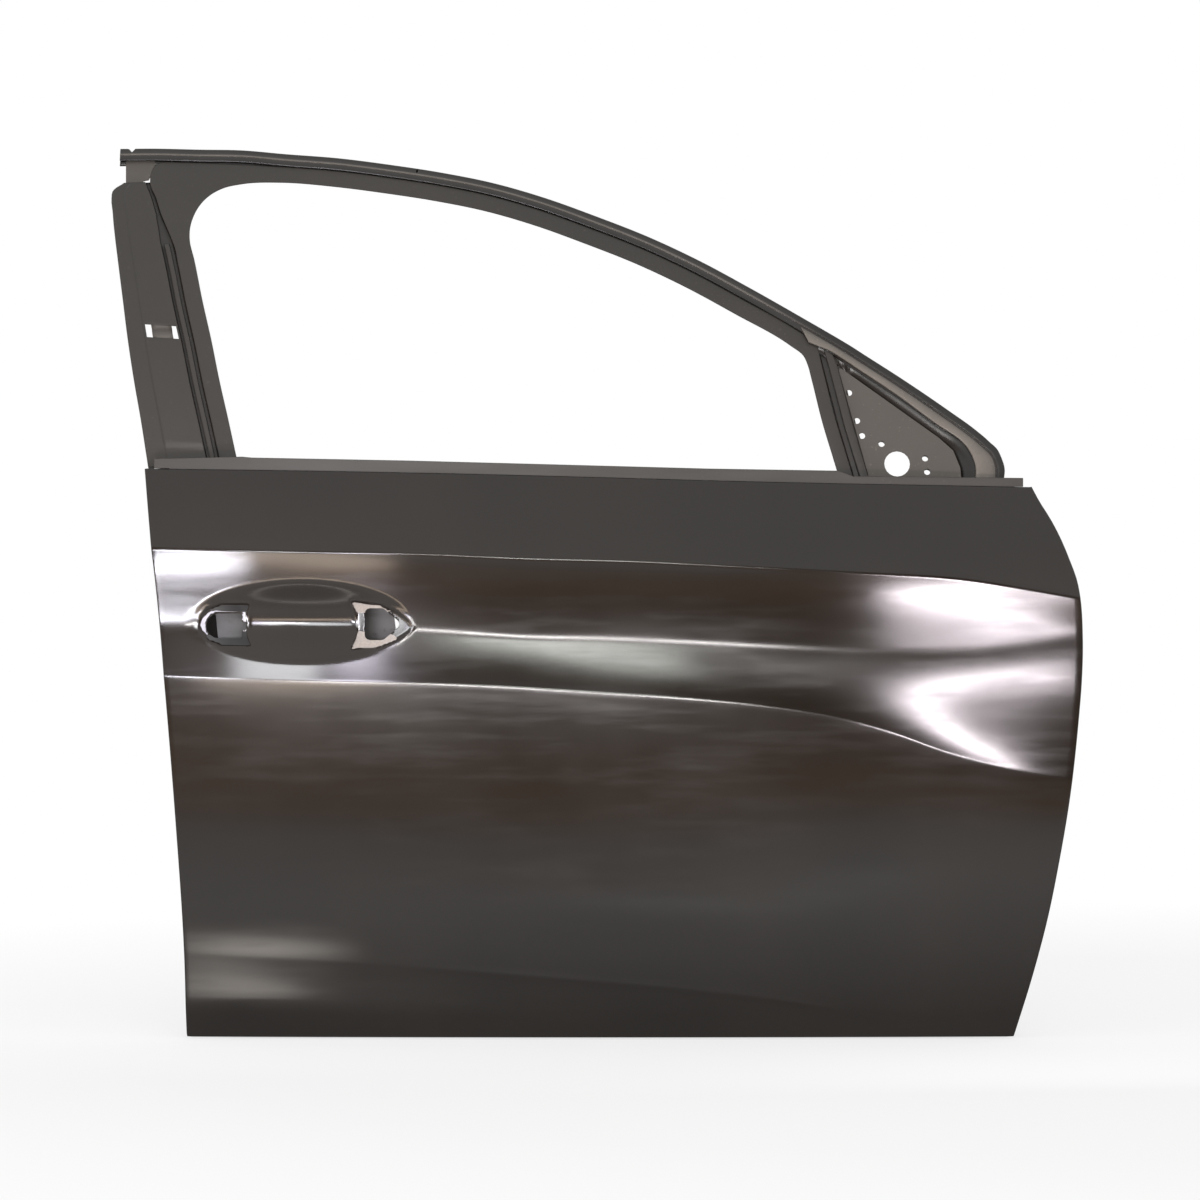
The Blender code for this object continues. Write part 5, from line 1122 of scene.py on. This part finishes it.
class DOORSHELL_OT_pillar(bpy.types.Operator):
    """The plate behind the window and the rib in its groove"""

    bl_idname = "door_shell.pillar"
    bl_label = "Pillar plate and rib"

    def execute(self, context):
        softness = context.scene.door_shell.fold_softness
        corner = len(OPENING_REAR) + 1 - len(FRAME_CORNER)
        outer = frame_points(PLATE_OUTER)
        side = offset_path(frame_sides()[1], FRAME_THICKNESS)[LEG_STATIONS:][:len(outer)]
        room = np.where(np.arange(len(outer)) < corner, RIB_GAP + RIB_WIDTH, 0.0)
        pairs = np.stack([np.insert(side, 1, room, 1), np.insert(outer, 1, room, 1)], 1)
        lines = fine(pairs, STATION_STEP)
        room = fine(pairs, STATION_STEP, curved=False)[:, 0, 1]
        rearmost = outer[:, 0].min()
        side, outer = lines[:, 0, ::2], lines[:, 1, ::2].copy()
        outer[:, 0] = np.maximum(outer[:, 0], rearmost)
        back = unit_ways(outer - side)
        end = side + back * CLEARANCE
        front = end + back * (room + GROOVE)[:, None]
        step = outer + (front - outer) * PLATE_STEP_SHARE
        low = np.clip((frame_height(PAD_TOP_SHARE) - outer[:, 1]) / PAD_FADE, 0, 1)[:, None]
        pad = front + (outer - front) * PAD_MARGIN
        rows = section(
            (outer, PLATE_EDGE), (outer, PLATE_STEP), (step + back * PLATE_STEP, PLATE_STEP), (step, 0.0),
            (pad, 0.0), (front, 0.0), (front, GROOVE_DEPTH), (end, GROOVE_DEPTH),
            (end, GROOVE_DEPTH + PLATE_FLANGE),
        )
        rows[:, 3:6, 1] += low * PAD_SINK
        made = pressed("pillar_skin", rows, "pillar_plate", finish("frame_finish"), softness)
        x, z = frame_points([PLATE_SLOT])[0]
        self.slot(made, x, z)
        self.tab(x + TAB_SHIFT, z)
        rib = room > 0.99 * (RIB_GAP + RIB_WIDTH)
        depth = GROOVE_DEPTH - FRAME_THICKNESS - CLEARANCE
        near = (side + back * (CLEARANCE + RIB_GAP))[rib]
        far = near + back[rib] * RIB_WIDTH
        rows = section((far, depth), (far, 0.0), (near, 0.0), (near, depth))
        pressed("pillar_bead", rows, "pillar_rib", finish("frame_finish"), softness, FRAME_THICKNESS / 2)
        return {"FINISHED"}

    def tab(self, x, z):
        """A spring tab across the clip slot: a strip bowed in and out by a sine over its height."""
        across, up = np.meshgrid(np.linspace(-TAB_WIDTH / 2, TAB_WIDTH / 2, 5), np.linspace(-1, 1, 17))
        bow = TAB_BOW * np.sin(np.pi * (1 + up)) * (1 - up * up)
        rows = np.stack([x + across - up * TAB_SLANT, TAB_INBOARD - bow, z + up * TAB_HEIGHT / 2], -1)
        made = mesh_from("pillar_tab", on_frame(rows), grid_faces(17, 5), finish("plate_finish"))
        wall(made, TAB_THICKNESS, 0)
        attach(made, "root")

    def slot(self, made, x, z):
        """Leaves out the faces in the clip slot's rectangle."""
        bm = bmesh.new()
        bm.from_mesh(made.data)
        half = PLATE_SLOT_HEIGHT / 2
        faces = []
        for face in bm.faces:
            middle = face.calc_center_median()
            if abs(middle.z - z) < half and abs(middle.x - x) < half / 2:
                faces.append(face)
        bmesh.ops.delete(bm, geom=faces, context="FACES")
        bm.to_mesh(made.data)
        bm.free()


class DOORSHELL_OT_mirror(bpy.types.Operator):
    """The strips round the mirror plate: the rib behind it and the brace in front of it"""

    bl_idname = "door_shell.mirror_strips"
    bl_label = "Mirror strips"

    def execute(self, context):
        softness = context.scene.door_shell.fold_softness
        top, seat_top = frame_height(MIRROR_RIB_SHARE), frame_height(MIRROR_TOP_SHARE)
        bottom = frame_height(MIRROR_BOTTOM_SHARE)
        z = np.array([top, seat_top, (seat_top + bottom) / 2, bottom])
        ahead = np.array([(1, -MIRROR_RIB_SLANT), (1, 0), (1, 0), (1, 0)])
        start = np.stack([front_x(z) + CLEARANCE + FRAME_THICKNESS / 2, z], 1)
        rise = start + MIRROR_GROOVE * ahead
        end = rise + MIRROR_RIB * ahead
        lap = end.copy()
        lap[:, 0] += np.array([0, 1, 1, 1]) * MIRROR_LAP + FRAME_THICKNESS
        seat = under_mirror(end[:, 1])
        rows = section(
            (start, GROOVE_DEPTH + PLATE_FLANGE), (start, GROOVE_DEPTH), (rise, GROOVE_DEPTH), (rise, 0.0),
            (end, 0.0), (end, seat), (lap, seat),
        )
        rows = fine(rows, STATION_STEP, curved=False)
        pressed("mirror_rib_skin", rows, "mirror_rib", finish("frame_finish"), softness)
        move = BRACE_LAP - RAIL_WIDTH - FRAME_THICKNESS / 2 - RAIL_GAP
        lap = offset_path(rail_path(), move)[-len(BRACE_EDGE):]
        edge, seat = frame_points(BRACE_EDGE), frame_points(BRACE_SEAT)
        above = -FRAME_THICKNESS - CLEARANCE
        rows = fine(section(
            (lap, above), (edge, above), (edge, under_mirror(edge[:, 1])), (seat, under_mirror(seat[:, 1])),
        ), STATION_STEP)
        # Painted light and shade of the brace: a light lap, painted shade on its wall and on the seat under
        # the mirror plate
        pressed("brace_skin", rows, "front_brace", finish("rail_painted_light_finish"), softness, shade=BRACE_PAINTED_LIGHT)
        return {"FINISHED"}


class DOORSHELL_OT_plates(bpy.types.Operator):
    """The smaller plates round the frame, with rounded folds"""

    bl_idname = "door_shell.plates"
    bl_label = "Frame plates"

    def execute(self, context):
        for node in FRAME_PLATES:
            look = "frame_finish" if node == "belt_reinforcement_outer" else "plate_finish"
            dressed(node, 0.0005, finish(look))
        return {"FINISHED"}


class DOORSHELL_OT_inner(bpy.types.Operator):
    """The pressings, brackets, beam and nuts behind the skin"""

    bl_idname = "door_shell.inner"
    bl_label = "Inner pressings"

    def execute(self, context):
        for node in sorted(set(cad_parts) - {*NEW_SURFACES, *FRAME_PLATES}):
            if node.startswith("mastic_pad"):
                dressed(node, 0.0, finish("mastic_finish"))
            else:
                look = "handle_painted_shade_finish" if node == "handle_reinforcement" else "inner_finish"
                dressed(node, 0.0004, finish(look))
        return {"FINISHED"}


def stage_plane(name, corners, material):
    """A flat four-cornered piece of the stage, which is no part of the door."""
    mesh = bpy.data.meshes.new(name)
    mesh.from_pydata(corners, [], [(0, 1, 2, 3)])
    made = bpy.data.objects.new(name, mesh)
    bpy.context.scene.collection.objects.link(made)
    mesh.materials.append(material)
    return made


def soft_box(name, spot, turn, rise, distance, size, roll, level, tint):
    """A rectangular lamp that the skin mirrors at a spot: it stands along a direction of azimuth and
    rise from there, faces the spot, and its power follows from its level of brightness and its size."""
    way = Vector((
        math.sin(turn) * math.cos(rise), -math.cos(turn) * math.cos(rise), math.sin(rise),
    ))
    lamp = bpy.data.lights.new(name, "AREA")
    lamp.shape = "ELLIPSE" if size[0] < 1 else "RECTANGLE"
    lamp.size, lamp.size_y = size
    lamp.energy = level * math.pi * size[0] * size[1]
    lamp.color = tint
    made = bpy.data.objects.new(name, lamp)
    made.location = Vector(spot) + way * distance
    lean = Quaternion((0, 0, 1), roll) if roll else Quaternion()
    made.rotation_euler = (way.to_track_quat("Z", "Y") @ lean).to_euler()
    made.visible_camera = False
    bpy.context.scene.collection.objects.link(made)


def low_highlight_card(name, centre, half, level, tint):
    """An upright glowing card, no lamp, that only the gloss mirrors as a painted highlight on the skin,
    bright in its middle and clear at the edge of its ellipse: brightness falls with the square of the
    distance over the half sizes."""
    f = Finish(bpy.data.materials.new(name))
    off = f.node("ShaderNodeVectorMath", {"operation": "SUBTRACT"}, {0: f.place(), 1: centre})
    scale = (1 / half[0], 0.0, 1 / half[1])
    off = f.node("ShaderNodeVectorMath", {"operation": "MULTIPLY"}, {0: off, 1: scale})
    reach = f.node("ShaderNodeVectorMath", {"operation": "LENGTH"}, {0: off}, output=1)
    share = (1 - reach * reach).clip()
    clear = f.node("ShaderNodeBsdfTransparent")
    glow = f.node("ShaderNodeEmission", None, {"Color": (*tint, 1.0), "Strength": level})
    surface = f.close(f.node("ShaderNodeMixShader", None, {0: share, 1: clear, 2: glow}))
    x, y, z = centre
    corners = [(x + i * half[0], y, z + j * half[1]) for i, j in CORNERS]
    only_gloss(stage_plane(name, corners, surface))


def only_gloss(made):
    """Hides a piece of the stage from all but mirrored rays."""
    for kind in ("camera", "diffuse", "transmission", "shadow"):
        setattr(made, "visible_" + kind, False)


class DOORSHELL_OT_stage(bpy.types.Operator):
    """Pale floor with a painted pool of light and shadow in its reflection, even studio light, soft boxes,
    glowing low cards that paint highlights, glowing dark flags and the camera
    """

    bl_idname = "door_shell.stage"
    bl_label = "Stage"

    def execute(self, context):
        scene = context.scene
        f = Finish(bpy.data.materials.new("floor_white"))
        light = f.node("ShaderNodeLightPath")
        gloss = Value(f.tree, light.socket.node.outputs["Is Glossy Ray"])
        far = f.node("ShaderNodeVectorMath", {"operation": "LENGTH"}, {0: f.place()}, output=1)
        even = (far * 0.9 - 1.1).clip()
        cloth = f.node("ShaderNodeBsdfDiffuse", None, {"Color": (0.85, 0.85, 0.85, 1.0)})
        ahead = f.node("ShaderNodeSeparateXYZ", None, {0: f.place()}, output=1) * -0.5
        white = (1.0, 1.0, 1.0, 1.0)
        # Mirrored rays see the floor's painted light: a painted shadow close to the door and a painted pool
        # of light further out; camera rays see it white
        shade = f.mix(light, f.ramp(ahead, FLOOR_PAINTED_POOL), white)
        glow = f.node("ShaderNodeEmission", None, {"Color": shade, "Strength": 1.0})
        share = (light * (even * 0.35 + 0.65) + gloss).clip()
        floor = f.close(f.node("ShaderNodeMixShader", None, {0: share, 1: cloth, 2: glow}))
        low = CAD_BOX[0][2] - FLOOR_GAP
        stage_plane("floor", [(FLOOR_HALF * i, FLOOR_HALF * j, low) for i, j in CORNERS], floor)
        self.flags(low + FLAG_LIFT)
        world = bpy.data.worlds.new("studio")
        scene.world = world
        w = Finish(world)
        ray = w.node("ShaderNodeLightPath")
        outputs = ray.socket.node.outputs
        shown = ray + Value(w.tree, outputs["Is Glossy Ray"])
        shown = shown + Value(w.tree, outputs["Is Transmission Ray"])
        even, shining = (
            w.node("ShaderNodeBackground", None, {"Color": white, "Strength": strength})
            for strength in (scene.door_shell.light_level, 1.0)
        )
        studio = w.node("ShaderNodeMixShader", None, {0: shown.clip(), 1: even, 2: shining})
        w.close(studio, "ShaderNodeOutputWorld")
        for name, spot, turn, rise, distance, size, roll, level, tint in SOFT_BOXES:
            turn, rise, roll = (math.radians(a) for a in (turn, rise, roll))
            soft_box(name, spot, turn, rise, distance, size, roll, level, tint)
        for card in LOW_HIGHLIGHT_CARDS:
            low_highlight_card(*card)
        camera = bpy.data.cameras.new("camera")
        camera.sensor_width = SENSOR
        camera.lens = SENSOR * CAMERA_DISTANCE / CAMERA_FRAME
        made = bpy.data.objects.new("camera", camera)
        made.location = (CAMERA_AIM[0], CAMERA_AIM[1] - CAMERA_DISTANCE, CAMERA_AIM[2])
        made.rotation_euler = (math.pi / 2, 0, 0)
        scene.collection.objects.link(made)
        scene.camera = made
        scene.view_settings.view_transform = "Standard"
        return {"FINISHED"}

    def flags(self, low):
        """Dark flags that glow, though no lamps, and that only the gloss of the primer shows, as a painted
        reflection of a
        dark room: a wall and the ground ahead of it.
        """
        f = Finish(bpy.data.materials.new("flag_brown"))
        ahead = f.node("ShaderNodeSeparateXYZ", None, {0: f.place()}, output=1) * (1 / FLAG_PLACES[0])
        # Painted glow: lighter near the door, darker towards the wall
        tones = f.ramp(ahead, FLAG_PAINTED_GLOW)
        dark = f.close(f.node("ShaderNodeEmission", None, {"Color": tones, "Strength": 1.0}))
        wall_y, near_y, side, top = FLAG_PLACES
        foot = [(-side, wall_y, low), (side, wall_y, low)]
        for name, y, z in (("flag_wall", wall_y, top), ("flag_ground", near_y, low)):
            only_gloss(stage_plane(name, [*foot, (side, y, z), (-side, y, z)], dark))


class DOORSHELL_PT_panel(bpy.types.Panel):
    """Lists the door shell's settings and pieces"""

    bl_idname = "DOORSHELL_PT_panel"
    bl_label = "Door shell"
    bl_space_type = "VIEW_3D"
    bl_region_type = "UI"
    bl_category = "Door shell"

    def draw(self, context):
        settings = context.scene.door_shell
        for name in settings.bl_rna.properties.keys():
            if name not in ("rna_type", "name"):
                self.layout.prop(settings, name)
        for operator in OPERATORS:
            self.layout.operator(operator.bl_idname)


OPERATORS = (
    DOORSHELL_OT_skin, DOORSHELL_OT_frame, DOORSHELL_OT_rail, DOORSHELL_OT_pillar, DOORSHELL_OT_mirror,
    DOORSHELL_OT_plates, DOORSHELL_OT_inner, DOORSHELL_OT_stage,
)
CLASSES = (DoorShellSettings, *OPERATORS, DOORSHELL_PT_panel)


def register():
    for item in CLASSES:
        bpy.utils.register_class(item)
    bpy.types.Scene.door_shell = PointerProperty(type=DoorShellSettings)


def unregister():
    del bpy.types.Scene.door_shell
    for item in reversed(CLASSES):
        bpy.utils.unregister_class(item)


def main():
    """Builds every piece and the stage."""
    register()
    for operator in OPERATORS:
        getattr(bpy.ops.door_shell, operator.bl_idname.split(".")[1])()


if __name__ == "__main__":
    main()
